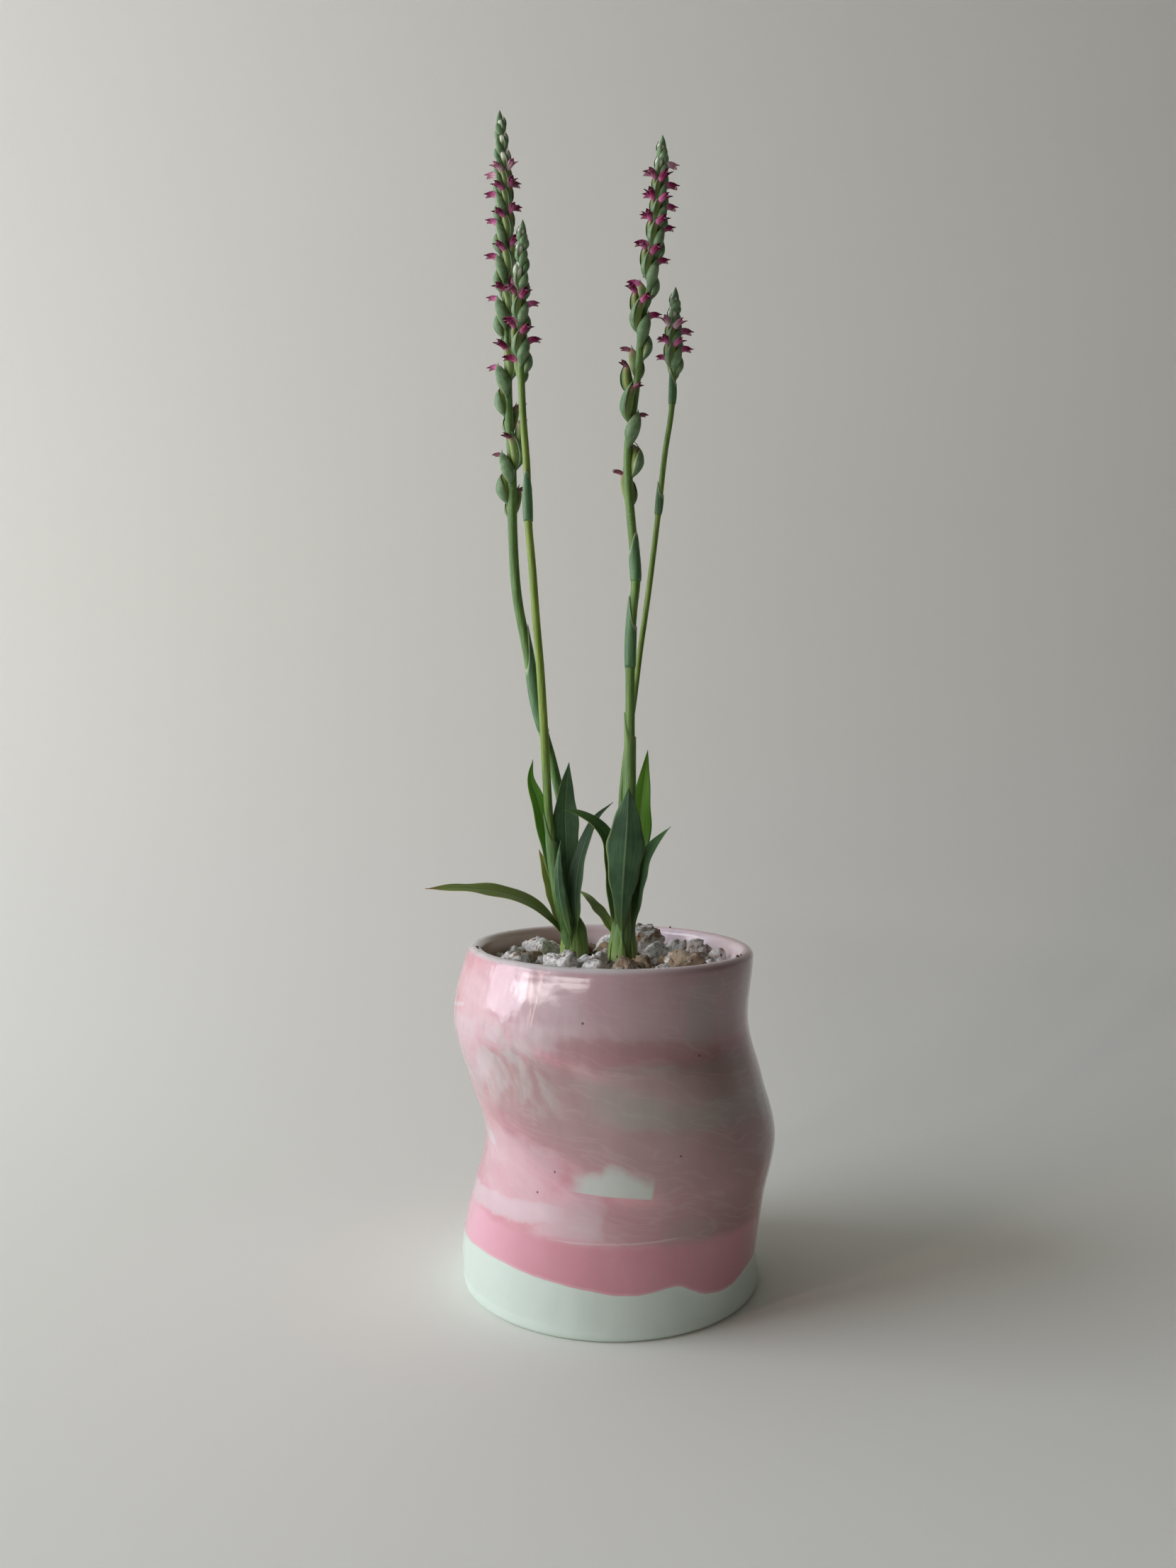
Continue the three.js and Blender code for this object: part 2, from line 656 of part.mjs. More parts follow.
// It fills the cavity up to a level top; each crown stands in a plain round hole.
function makeMix() {
  const side = BODY_RADII.filter(([, z]) => z > CAVITY_FLOOR && z < MIX_TOP)
    .map(([radius, z]) => [radius - WALL - MIX_GAP, z]);
  const floorEdge = [BODY_RADII[0][0] - WALL - FOOT_ROUNDING - MIX_GAP, CAVITY_FLOOR + FIT_GAP];
  const top = [side[side.length - 1][0], MIX_TOP];
  const rings = [floorEdge, ...side, top].map(([radius, z]) => potRing(radius, z)
    .map((point) => point.setZ(z)));
  const block = solid(loft(rings, potCentre(CAVITY_FLOOR + FIT_GAP), potCentre(MIX_TOP)));
  const radius = CROWN_RADIUS + FIT_GAP;
  const hole = ([x, y]) => {
    const heights = [CROWN_FOOT - FIT_GAP, MIX_TOP + 5];
    const holeRings = heights.map((z) => ring(CROWN_SIDES, (angle) => new THREE.Vector3(
      x + radius * Math.cos(angle), y + radius * Math.sin(angle), z,
    )));
    return solid(loft(holeRings, new THREE.Vector3(x, y, heights[0]), new THREE.Vector3(x, y, heights[1])));
  };
  return block.subtract(hole(LEFT_CROWN)).subtract(hole(RIGHT_CROWN));
}

// Pumice

// One rough lump that sits at the height of its lowest point.
function pumiceLump([x, y, radius, height], random) {
  // Share of its height, and of its radius
  const stations = [
    [0.24, 0.94],
    [0.8, 0.84],
  ];
  const turn = random() * Math.PI;
  const squash = 0.84 + 0.16 * random();
  const floor = MIX_TOP + FIT_GAP;
  const rings = stations.map(([share, girth]) => ring(PUMICE_SIDES, (angle) => {
    const reach = radius * girth * (0.88 + 0.18 * random());
    const across = reach * Math.cos(angle);
    const along = reach * squash * Math.sin(angle);
    return new THREE.Vector3(
      x + across * Math.cos(turn) - along * Math.sin(turn),
      y + across * Math.sin(turn) + along * Math.cos(turn),
      floor + height * (share + 0.16 * (random() - 0.5)),
    );
  }));
  const foot = new THREE.Vector3(x, y, floor);
  const crest = new THREE.Vector3(x + 0.2 * radius * (random() - 0.5), y, floor + height);
  return solid(loft(rings, foot, crest));
}

// The unseen lumps fill what is left of the top, larger ones first, clear of the wall and the crowns.
function pumicePlaces() {
  const random = seeded(PUMICE_SEED);
  const places = [...PUMICE_SEEN];
  const middle = potCentre(MIX_TOP + 4);
  const room = BODY_RADII[BODY_RADII.length - 1][0] - WALL - FIT_GAP - 0.6;
  for (let i = 0; i < PUMICE_TRIES && places.length < PUMICE_MOST; i += 1) {
    const radius = THREE.MathUtils.lerp(...PUMICE_RADII, i / PUMICE_TRIES);
    const reach = (room - radius) * Math.sqrt(random());
    const angle = 2 * Math.PI * random();
    const x = middle.x + reach * Math.cos(angle);
    const y = middle.y + reach * Math.sin(angle);
    const clearOfLumps = places.every((other) => (
      Math.hypot(x - other[0], y - other[1]) > radius + other[2] + FIT_GAP
    ));
    const clearOfCrowns = [LEFT_CROWN, RIGHT_CROWN].every((other) => (
      Math.hypot(x - other[0], y - other[1]) > radius + CROWN_RADIUS + FIT_GAP
    ));
    if (clearOfLumps && clearOfCrowns) places.push([x, y, radius, radius * (1.6 + 0.3 * random())]);
  }
  return places;
}

// Assembly

place('pot', makePot(), COLOURS.clay, 0.25);
place('potting_mix', makeMix(), COLOURS.mix, 0.95);

const lumpRandom = seeded(PUMICE_SEED + 1);
pumicePlaces().forEach((lump, i) => {
  const name = `pumice_${String(i + 1).padStart(2, '0')}`;
  place(name, pumiceLump(lump, lumpRandom), COLOURS.pumice, 0.9);
});

place('left_leafy_crown', makeLeafyCrown(
  LEFT_CROWN,
  LEFT_LEAVES,
  [STALKS.left_tall_spike, STALKS.left_short_spike],
  [stalkSheath(STALKS.left_short_spike)],
), COLOURS.leaf, 0.55);
place('right_leafy_crown', makeLeafyCrown(
  RIGHT_CROWN,
  RIGHT_LEAVES,
  [STALKS.right_tall_spike, STALKS.right_short_spike],
), COLOURS.leaf, 0.55);

Object.entries(STALKS).forEach(([name, stalk], i) => {
  place(name, makeSpike(stalk, 100 + i), COLOURS.stalk, 0.5);
});

export default part;
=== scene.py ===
# %% [markdown]
# # A potted ladies tresses orchid
#
# Two small clumps of a ground orchid grow in a hand-built pot of marbled clay, under a layer of pumice.
# Each clump sends up two flower stalks, and on every stalk the flowers climb in a spiral, like a plait.
#
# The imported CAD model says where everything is. This script loads it first and hides it piece by piece
# behind finer pieces. All shapes are worked out in millimetres, in the same frame as the CAD model:
# +Z is up, the foot of the pot is at the origin, and the viewer of the front looks along +Y.

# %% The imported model
import math

import bmesh
import bpy
import numpy as np
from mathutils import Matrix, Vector, noise


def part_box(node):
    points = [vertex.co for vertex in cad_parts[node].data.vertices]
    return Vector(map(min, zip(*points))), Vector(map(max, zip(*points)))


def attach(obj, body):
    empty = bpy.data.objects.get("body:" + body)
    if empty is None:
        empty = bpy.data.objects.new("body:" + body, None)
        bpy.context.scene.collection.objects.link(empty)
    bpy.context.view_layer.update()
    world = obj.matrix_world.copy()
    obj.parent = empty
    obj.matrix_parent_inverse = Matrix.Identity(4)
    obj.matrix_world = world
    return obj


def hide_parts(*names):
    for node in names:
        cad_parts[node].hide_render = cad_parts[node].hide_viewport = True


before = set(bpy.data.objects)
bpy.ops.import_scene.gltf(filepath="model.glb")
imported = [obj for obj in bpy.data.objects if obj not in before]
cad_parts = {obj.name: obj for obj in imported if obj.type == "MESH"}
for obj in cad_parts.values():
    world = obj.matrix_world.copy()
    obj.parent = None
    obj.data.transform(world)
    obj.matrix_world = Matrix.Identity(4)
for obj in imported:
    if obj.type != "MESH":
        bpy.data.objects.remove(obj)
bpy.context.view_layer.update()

MM = 0.001
print("loaded", len(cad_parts), "nodes")

# %% [markdown]
# ## The place: camera, floor and light
#
# The camera stands at the height of the flower stalks' feet and looks a little down, like the one that
# took the photograph. A phone's lens at this distance spreads the view, so the near rim of the pot
# looks larger than the far one, and that is kept by placing the camera at its true distance.

# %% Camera
CAMERA_PLACE = (-7.3, -370.9, 165.7)
CAMERA_DOWN = 1.61
CAMERA_LENS = 27.03

camera = bpy.data.objects.new("camera", bpy.data.cameras.new("camera"))
camera.data.sensor_width = 36
camera.data.lens = CAMERA_LENS
camera.data.clip_start = 0.01
camera.location = Vector(CAMERA_PLACE) * MM
camera.rotation_euler = (math.radians(90 - CAMERA_DOWN), 0, 0)
bpy.context.scene.collection.objects.link(camera)
bpy.context.scene.camera = camera
print("camera", [round(x, 4) for x in camera.location])

# %% [markdown]
# A colour is easiest to read as it looks on the screen, two hexadecimal digits each for red, green and
# blue. Shaders reckon with amounts of light instead, so each value is converted once, here.

# %% Colours
def colour(code):
    """A screen colour such as "d8a0a8" as the red, green, blue and alpha that a shader takes."""
    parts = [int(code[i:i + 2], 16) / 255 for i in (0, 2, 4)]
    light = [p / 12.92 if p <= 0.04045 else ((p + 0.055) / 1.055) ** 2.4 for p in parts]
    return (*light, 1.0)

# %% [markdown]
# ## Shader maths as Python sums
#
# A finish such as marbled clay is a sum of many simple patterns. Drawn as boxes and wires it would fill
# a whole screen, so `Wire` wraps a node's output and lets it be added and multiplied like a number.
# Each sum adds a Math node, or a Vector Math node where a vector takes part. `Finish` is one material.
# Its `node` method makes every other node, and its `coat` method lays one more colour over the last,
# the way a painter glazes a picture.

# %% Wire and Finish
class Wire:
    """A node's output that can take part in a Python sum."""

    def __init__(self, finish, socket):
        self.finish, self.socket = finish, socket

    def sum(self, operation, *values):
        vectors = any(isinstance(v, Wire) and v.socket.type == "VECTOR" for v in values)
        if vectors:
            values = [v if isinstance(v, Wire) else (v,) * 3 for v in values]
        kind = "VectorMath" if vectors else "Math"
        return self.finish.node(kind, {"operation": operation}, dict(enumerate(values)))

    def __add__(self, other): return self.sum("ADD", self, other)
    def __radd__(self, other): return self.sum("ADD", other, self)
    def __sub__(self, other): return self.sum("SUBTRACT", self, other)
    def __rsub__(self, other): return self.sum("SUBTRACT", other, self)
    def __mul__(self, other): return self.sum("MULTIPLY", self, other)
    def __truediv__(self, other): return self.sum("DIVIDE", self, other)
    def __abs__(self): return self.sum("ABSOLUTE", self)
    def highest(self, other): return self.sum("MAXIMUM", self, other)


class Finish:
    """One material: a Principled shader, the nodes that feed it, and its paint so far."""

    def __init__(self, name, **constants):
        self.material = bpy.data.materials.new(name)
        self.material.use_nodes = True
        self.tree = self.material.node_tree
        self.shader = self.tree.nodes["Principled BSDF"]
        self.paint = None
        self.set(**constants)

    def set(self, **sockets):
        """Sets or wires sockets of the shader; Base_Color stands for Base Color."""
        for name, value in sockets.items():
            self.plug(self.shader.inputs[name.replace("_", " ")], value)

    def plug(self, socket, value):
        if isinstance(value, Wire):
            self.tree.links.new(value.socket, socket)
        else:
            socket.default_value = value

    def node(self, kind, settings, sockets, output=0):
        """Makes a node: first its settings, then the values or wires of its sockets."""
        made = self.tree.nodes.new("ShaderNode" + kind)
        for name, value in settings.items():
            setattr(made, name, value)
        for key, value in sockets.items():
            self.plug(made.inputs[key], value)
        return Wire(self, made.outputs[output])

    def place(self):
        """Where a point is, in millimetres in the row frame: as a vector and as x, y, z."""
        spot = self.node("TexCoord", {}, {}, "Object") * 1000.0
        outputs = self.node("SeparateXYZ", {}, {0: spot}).socket.node.outputs
        return spot, *(Wire(self, output) for output in outputs)

    def marks(self, *names):
        """Numbers that the mesh carries at each point."""
        return [self.node("Attribute", {"attribute_name": name}, {}, "Fac") for name in names]

    def vector(self, x, y, z):
        return self.node("CombineXYZ", {}, {0: x, 1: y, 2: z})

    def cloud(self, spot, size, detail=2.0, roughness=0.5, twist=0.0):
        """Soft noise between 0 and 1 whose lumps are about size millimetres across."""
        return self.node("TexNoise", {"noise_dimensions": "3D"}, {
            "Vector": spot, "Scale": 1.0 / size, "Detail": detail,
            "Roughness": roughness, "Distortion": twist,
        })

    def cells(self, spot, size):
        """How far the nearest of many scattered points is, as a share of their spacing."""
        return self.node("TexVoronoi", {"feature": "F1"}, {"Vector": spot, "Scale": 1 / size})

    def rise(self, value, low, high):
        """0 below low, 1 above high, and a soft step between; low may be the larger one."""
        return self.node("MapRange", {"interpolation_type": "SMOOTHSTEP"}, {
            "Value": value, "From Min": low, "From Max": high, "To Min": 0.0, "To Max": 1.0,
        })

    def mix(self, share, first, second):
        """Colours mixed; first and second are screen colours or wires."""
        first, second = (colour(c) if isinstance(c, str) else c for c in (first, second))
        return self.node("Mix", {"data_type": "RGBA"}, {0: share, 6: first, 7: second}, 2)

    def coat(self, tint, share, *step):
        """Lays a colour over the paint; step is a value, low and high for rise() to weaken it by."""
        if step:
            share = self.rise(*step) * share
        self.paint = self.mix(share, self.paint, tint)

    def bump(self, height, depth):
        """A normal from a height between 0 and 1 that stands for depth millimetres."""
        return self.node("Bump", {}, {"Height": height, "Distance": depth * MM, "Strength": 1.0})

# %% [markdown]
# The floor is one pale sheet that turns up into a backdrop behind the plant, so no edge shows.

# %% Floor and backdrop
FLOOR_REACH = 2500.0
JUST_UNDER = -0.02


def make_floor():
    """A floor that bends up into a backdrop 320 mm behind the pot."""
    bend, back = 250.0, 320.0
    turns = np.linspace(0, math.pi / 2, 16)
    line = [(-FLOOR_REACH, 0.0)]
    line += [(back - bend + bend * math.sin(t), bend - bend * math.cos(t)) for t in turns]
    line += [(back, FLOOR_REACH)]
    points = [Vector((x, y, z + JUST_UNDER)) * MM for y, z in line for x in (-FLOOR_REACH, FLOOR_REACH)]
    faces = [(2 * i, 2 * i + 1, 2 * i + 3, 2 * i + 2) for i in range(len(line) - 1)]
    mesh = bpy.data.meshes.new("floor")
    mesh.from_pydata(points, [], faces)
    mesh.polygons.foreach_set("use_smooth", [True] * len(faces))
    floor = bpy.data.objects.new("floor", mesh)
    bpy.context.scene.collection.objects.link(floor)
    paper = Finish("pale_paper", Roughness=0.85)
    paper.set(Base_Color=paper.mix(paper.cloud(paper.place()[0], 260.0), "e9eae2", "eeefe7"))
    mesh.materials.append(paper.material)


make_floor()
print("floor laid")

# %% [markdown]
# Daylight comes from the left, a little in front of the plant. One large lamp gives the soft light.
# A tall narrow lamp and a low wide one are there for the glossy glaze to mirror, as broken streaks on
# the shoulder and a bright band under the lip. A faint light from the right and an even one all round
# keep the shaded side readable.

# %% Lamps
def lamp(name, place, aim, width, height, power, tint):
    """A rectangular area lamp at place that shines at aim, in millimetres."""
    light = bpy.data.lights.new(name, "AREA")
    light.shape, light.size, light.size_y = "RECTANGLE", width * MM, height * MM
    light.energy, light.color = power, colour(tint)[:3]
    made = bpy.data.objects.new(name, light)
    made.location = Vector(place) * MM
    way = (Vector(aim) - Vector(place)).normalized()
    made.rotation_euler = way.to_track_quat("-Z", "Y").to_euler()
    bpy.context.scene.collection.objects.link(made)


lamp("soft_window", (-1560, -120, 800), (0, 0, 150), 1400, 1500, 30.5, "f0f5ff")
lamp("tall_strip", (-980, -760, 520), (0, 0, 60), 36, 1200, 1.5, "ffdfcc")
lamp("low_strip", (-850, -850, 280), (0, 0, 100), 1300, 90, 3.0, "fbf3f3")
lamp("far_room", (1300, -900, 700), (0, 0, 150), 1200, 1200, 0.12, "ffe6d0")

world = bpy.data.worlds.new("daylight")
world.use_nodes = True
world.node_tree.nodes["Background"].inputs["Color"].default_value = colour("fff1e2")
world.node_tree.nodes["Background"].inputs["Strength"].default_value = 0.035
bpy.context.scene.world = world
bpy.context.scene.view_settings.view_transform = "Standard"
print("lamps lit")

# %% [markdown]
# ## Skins
#
# Nearly every part of a plant is either a tube or a thin blade. Both are rings of points with a skin
# drawn over them: round rings for a tube, flat ones for a blade. `loft` draws that skin. Numbers that a
# finish needs later, such as how far along a leaf a point lies, are kept with the points as marks.

# %% Loft
def loft(rings, **marks):
    """A closed skin over rings of points (rows, sides, 3), and marks for each of its points."""
    rings = np.asarray(rings, float)
    rows, sides = rings.shape[:2]
    points = np.concatenate([rings.reshape(-1, 3), rings[:1].mean(1), rings[-1:].mean(1)])
    index = np.arange(rows * sides).reshape(rows, sides)
    here, beside = index, np.roll(index, -1, 1)
    quads = np.stack([here[:-1], beside[:-1], beside[1:], here[1:]], -1).reshape(-1, 4)
    foot, top = rows * sides, rows * sides + 1
    faces = quads.tolist()
    faces += [(foot, b, a) for a, b in zip(here[0].tolist(), beside[0].tolist())]
    faces += [(top, a, b) for a, b in zip(here[-1].tolist(), beside[-1].tolist())]
    a, b, c = (points[quads[:, i]] for i in (0, 1, 2))
    if np.einsum("ij,ij->i", a, np.cross(b, c)).sum() < 0:
        faces = [face[::-1] for face in faces]
    kept = {}
    for name, values in marks.items():
        grid = np.broadcast_to(np.asarray(values, float), (rows, sides))
        kept[name] = np.concatenate([grid.reshape(-1), [grid[0].mean(), grid[-1].mean()]])
    return points, faces, kept


def sheet(middle, thickness, **marks):
    """A thin closed blade round a grid of points (rows, columns, 3), half as thick each way."""
    middle = np.asarray(middle, float)
    across, along = np.gradient(middle, axis=1), np.gradient(middle, axis=0)
    normal = np.cross(across, along)
    normal /= np.maximum(np.linalg.norm(normal, axis=2, keepdims=True), 1e-9)
    half = np.broadcast_to(np.asarray(thickness, float) / 2, middle.shape[:2])[..., None]
    rings = np.concatenate([middle + normal * half, (middle - normal * half)[:, ::-1]], 1)
    doubled = {}
    for name, values in marks.items():
        grid = np.broadcast_to(np.asarray(values, float), middle.shape[:2])
        doubled[name] = np.concatenate([grid, grid[:, ::-1]], 1)
    return loft(rings, **doubled)

# %% [markdown]
# Many small skins make one piece. `Heap` gathers them, and turns them into a Blender mesh that rides on
# the plant's one body and stands for its CAD nodes.

# %% Heap
class Heap:
    """Skins gathered for one piece, with the marks that its finishes read."""

    def __init__(self):
        self.points, self.faces, self.coats, self.marks, self.count = [], [], [], [], 0

    def add(self, skin, coat=0, **marks):
        """Adds a skin painted with the piece's finish number coat; marks may be single numbers."""
        points, faces, kept = skin
        self.points.append(points)
        self.faces += [[self.count + i for i in face] for face in faces]
        self.coats += [coat] * len(faces)
        self.marks.append((len(points), {**kept, **marks}))
        self.count += len(points)

    def piece(self, name, finishes, slot, nodes=()):
        mesh = bpy.data.meshes.new(name)
        mesh.from_pydata(np.concatenate(self.points) * MM, [], self.faces)
        mesh.polygons.foreach_set("use_smooth", [True] * len(self.faces))
        mesh.polygons.foreach_set("material_index", self.coats)
        for mark in sorted({key for _, marks in self.marks for key in marks}):
            layer = mesh.attributes.new(mark, "FLOAT", "POINT")
            values = [np.broadcast_to(marks.get(mark, 0.0), n) for n, marks in self.marks]
            layer.data.foreach_set("value", np.concatenate(values).astype(np.float32))
        for finish in finishes:
            mesh.materials.append(finish.material)
        made = bpy.data.objects.new(name, mesh)
        bpy.context.scene.collection.objects.link(made)
        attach(made, "root")
        if nodes:
            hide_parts(*nodes)
        triangles = sum(len(face) - 2 for face in self.faces)
        print(f"{name}: {triangles} triangles")

# %% [markdown]
# Smooth lines pass through a few measured points. The same cubic rule draws them in the CAD source, so
# a finer piece follows exactly the line that its CAD node follows.

# %% Smooth lines
def smooth(stations, values):
    """The curve through values at rising stations, as a function that reads it anywhere."""
    t, v = np.array(stations, float), np.array(values, float)
    v = v.reshape(len(t), -1)
    last = len(t) - 1

    def at(x):
        x = np.clip(np.atleast_1d(np.asarray(x, float)), t[0], t[-1])
        i = np.clip(np.searchsorted(t, x, side="right"), 1, last)
        before, after = np.where(i >= 2, i - 2, i), np.where(i < last, i + 1, i - 1)
        t0, t1 = t[i - 1], t[i]
        t_before, t_after = np.where(i >= 2, t[i - 2], t1), np.where(i < last, t[after], t0)
        p = (x - t0) / (t1 - t0)
        w, u = (t1 - t0) / 2 / (t0 - t_before), (t1 - t0) / 2 / (t_after - t1)
        share = (
            -w * p**3 + 2 * w * p**2 - w * p,
            (1 + w) * p**3 + (-1.5 - 2 * w) * p**2 + (-0.5 + w) * p + 1,
            (-1 - u) * p**3 + (1.5 + u) * p**2 + 0.5 * p,
            u * p**3 - u * p**2,
        )
        places = (before, i - 1, i, after)
        return sum(s[:, None] * v[k] for s, k in zip(share, places))

    return at


def climbing(points):
    """A line that climbs through points (x, y, z), read at any heights."""
    across = smooth([p[2] for p in points], [p[:2] for p in points])

    def at(z):
        z = np.atleast_1d(np.asarray(z, float))
        return np.column_stack([across(z), z])

    return at


def circle(sides):
    return np.linspace(0, 2 * math.pi, sides, endpoint=False)


def level_way(angle):
    """The level direction at each angle, as points (..., 3)."""
    return np.stack([np.cos(angle), np.sin(angle), 0 * angle], -1)


def unit(vector):
    vector = np.asarray(vector, float)
    return vector / np.maximum(np.linalg.norm(vector, axis=-1, keepdims=True), 1e-12)


def soft_step(value, low, high):
    x = np.clip((np.asarray(value, float) - low) / (high - low), 0, 1)
    return x * x * (3 - 2 * x)


def seeded(seed):
    """The same repeatable draw between 0 and 1 as in the CAD source."""
    state = [seed]

    def wrap(a, b):
        return (a * b) & 0xFFFFFFFF

    def draw():
        state[0] = (state[0] + 0x6D2B79F5) & 0xFFFFFFFF
        s = state[0]
        mixed = wrap(s ^ (s >> 15), 1 | s)
        mixed = ((mixed + wrap(mixed ^ (mixed >> 7), 61 | mixed)) & 0xFFFFFFFF) ^ mixed
        return ((mixed ^ (mixed >> 14)) & 0xFFFFFFFF) / 4294967296

    return draw

# %% [markdown]
# ## The pot
#
# The potter pressed sheets of pink and pale green clay together, threw or rolled them into a tube, and
# bent it so that its outline waves. A round section swept along a bent centre line is the simplest
# shape that does this. The wall is 5 mm thick, the lip is rounded, and the glaze stops in a wavy line
# above the foot, where its edge stands a little proud. That edge is real geometry, and so is the soft
# throwing ridge inside, under the lip, which catches the light.

# %% Pot measures
POT_CENTRE = climbing([
    (0, 0, 0), (-0.7, 0.4, 10), (2.3, 1.0, 28), (6.0, 0.3, 46),
    (1.6, -1.0, 64), (-3.2, -0.5, 82), (0, 0, 105),
])
OUTSIDE = smooth(
    [1.3, 10, 19, 28, 37, 46, 55, 64, 73, 82, 91, 99, 102.0],
    [46.5, 46.5, 46.3, 46.0, 45.7, 45.6, 45.7, 45.9, 46.1, 46.2, 46.0, 45.4, 45.05],
)
WALL = 5.0
CAVITY_FLOOR = 7.0
LIP_HEIGHT = 104.6
LIP_TILT = -0.012
# Where the glaze stops: degrees round the pot from the front, to the right, and height
GLAZE_LINE = [
    (-180, 15.5), (-150, 17.2), (-120, 16.0), (-100, 15.2), (-84, 15.4), (-60, 17.0), (-42, 17.0),
    (-30, 16.2), (-16, 15.2), (-8, 14.3), (2, 13.3), (10, 13.2), (16, 13.8), (21, 14.4), (25, 13.9),
    (29, 12.4), (34, 10.4), (40, 9.3), (48, 8.9), (54, 9.5), (60, 10.6), (70, 11.2), (82, 11.8),
    (100, 13.8), (120, 16.8), (150, 14.6), (180, 15.5),
]
GLAZE_THICK = 0.22


def glaze_height(degrees):
    return smooth(*zip(*GLAZE_LINE))(degrees)[:, 0]


print("glaze stops between", min(z for _, z in GLAZE_LINE), "and", max(z for _, z in GLAZE_LINE), "mm")

# %% Pot skin
POT_SIDES = 224
RIDGE, RIDGE_HEIGHT = 1.5, 96


def outer_radius(z):
    return float(OUTSIDE(z)[0, 0])


def pot_profile():
    """Radius, height and side (0 outside, 1 inside) up the pot, over the lip and down inside."""
    under = [(r, 0.0, 0) for r in (12, 24, 34, 41)]
    turn = np.linspace(0, math.pi / 2, 7)
    foot = [(44.8 + 1.7 * math.sin(t), 1.6 - 1.6 * math.cos(t), 0) for t in turn]
    body = [(outer_radius(z), z, 0) for z in np.arange(2.6, 101.6, 0.75)]
    over = np.linspace(0, math.pi, 17)
    lip = [(42.55 + 2.45 * math.cos(t), 102 + 2.6 * math.sin(t) ** 0.9, t / math.pi) for t in over]
    inside = []
    for z in (*range(101, 83, -1), 80, *range(74, 8, -6)):
        ridge = RIDGE * math.exp(-(((z - RIDGE_HEIGHT) / 4.5) ** 2))
        inside.append((outer_radius(z) - WALL - ridge, z, 1))
    floor = [(r, CAVITY_FLOOR, 1) for r in (40.2, 34, 22, 8)]
    return np.array(under + foot + body + lip + inside + floor)


def pot_skin():
    """The pot, with its side, the way round it and the height above the glaze line as marks."""
    profile = pot_profile()
    around = circle(POT_SIDES)
    radius, z, side = (profile[:, i][:, None] for i in range(3))
    above = z - glaze_height((np.degrees(around) + 270) % 360 - 180)[None]
    glazed = np.where((side == 0) & (z > 3), soft_step(above, -0.35, 0.25), 1)
    radius = radius + GLAZE_THICK * (glazed - 1)
    centre = POT_CENTRE(profile[:, 1])
    way = level_way(around)
    rings = centre[:, None] + radius[..., None] * way
    rings[..., 2] += LIP_TILT * (z / LIP_HEIGHT) ** 6 * radius * way[:, 0]
    # Fingers left shallow dents.
    dents = [[noise.noise(spot / 19) + 0.4 * noise.noise(spot / 8) for spot in map(Vector, ring)]
             for ring in rings]
    rings += (0.16 * np.array(dents) * (z > 4))[..., None] * way
    return loft(rings, side=side, turn_x=way[:, 0], turn_y=way[:, 1], above=above)

# %% [markdown]
# The finish is the hard part. Pressed clays leave soft clouds and thin drawn-out streaks that lie nearly
# level, because the tube was turned, and a few clear patches with one sharp edge. So the pattern is
# noise squeezed in height, plus a short list of patches, each given by where its middle is round the
# pot and up it. Under the glaze line the bare body is plain pale green and less glossy.

# %% Marbled clay
# Each patch: distance round the pot from the front and height of its middle, half its width and
# height, rise per millimetre to the right, softness, raggedness and strength
PATCHES = {
    "dusky": [
        (16, 96, 34, 12, 0.0, 0.9, 5, 0.85), (-6, 60, 26, 12, -0.35, 0.9, 7, 0.85),
        (42, 54, 28, 10, 0.0, 0.8, 5, 0.7), (10, 33, 26, 5, 0.0, 0.8, 3, 0.5),
        (-108, 92, 22, 9, 0.1, 0.8, 6, 0.7), (110, 52, 20, 10, 0.0, 0.8, 6, 0.7),
        (88, 90, 20, 9, 0.0, 0.8, 5, 0.7),
    ],
    "rosy": [
        (20, 79, 29, 3.6, -0.1, 0.9, 4, 0.8), (30, 39, 16, 13, 0.0, 0.6, 4, 0.6),
        (-30, 55, 20, 6, -0.5, 0.9, 5, 0.5), (-96, 56, 22, 5, 0.1, 0.6, 4, 0.7),
        (104, 68, 24, 4, -0.1, 0.5, 3, 0.7), (66, 76, 14, 4, 0.0, 0.6, 3, 0.6),
    ],
    "mint": [
        (24, 68, 27, 8, -0.04, 0.8, 5, 0.5), (7, 70, 10, 4.5, 0.0, 0.8, 3, 0.45),
        (30, 91, 5, 8, 0.0, 0.9, 4, 0.35), (21, 28, 7, 4, -0.1, 0.9, 4, 0.2),
        (68, 62, 17, 6.5, 0.0, 0.6, 4, 0.6), (-98, 80, 17, 5, 0.1, 0.9, 6, 0.65),
        (-110, 41, 9, 4, 0.14, 0.6, 3, 0.7), (98, 89, 12, 5, 0.12, 0.9, 5, 0.6),
        (116, 35, 17, 4, -0.12, 0.35, 3, 0.85),
    ],
    # Milky pale clay, mostly on the left, where it is partly a painted reflection on the glaze
    "milky_and_sheen": [
        (-45, 31.8, 24, 2.7, 0.09, 0.7, 3.5, 0.55), (-17, 34, 9, 7, 0.0, 0.8, 5, 0.3),
        (-32, 92, 18, 9, 0.0, 0.9, 9, 0.3), (-52, 78, 10, 8, 0.0, 0.9, 6, 0.4),
        (-42, 43, 15, 9, 0.0, 0.9, 8, 0.3), (-62, 88, 11, 0.6, 0.2, 0.5, 0.5, 0.6),
        (-55, 49, 4, 2, 0.0, 0.5, 2, 0.7), (-92, 40, 14, 2.5, 0.1, 0.4, 2, 0.6),
        (98, 32, 20, 2.4, -0.1, 0.4, 2, 0.6),
    ],
}


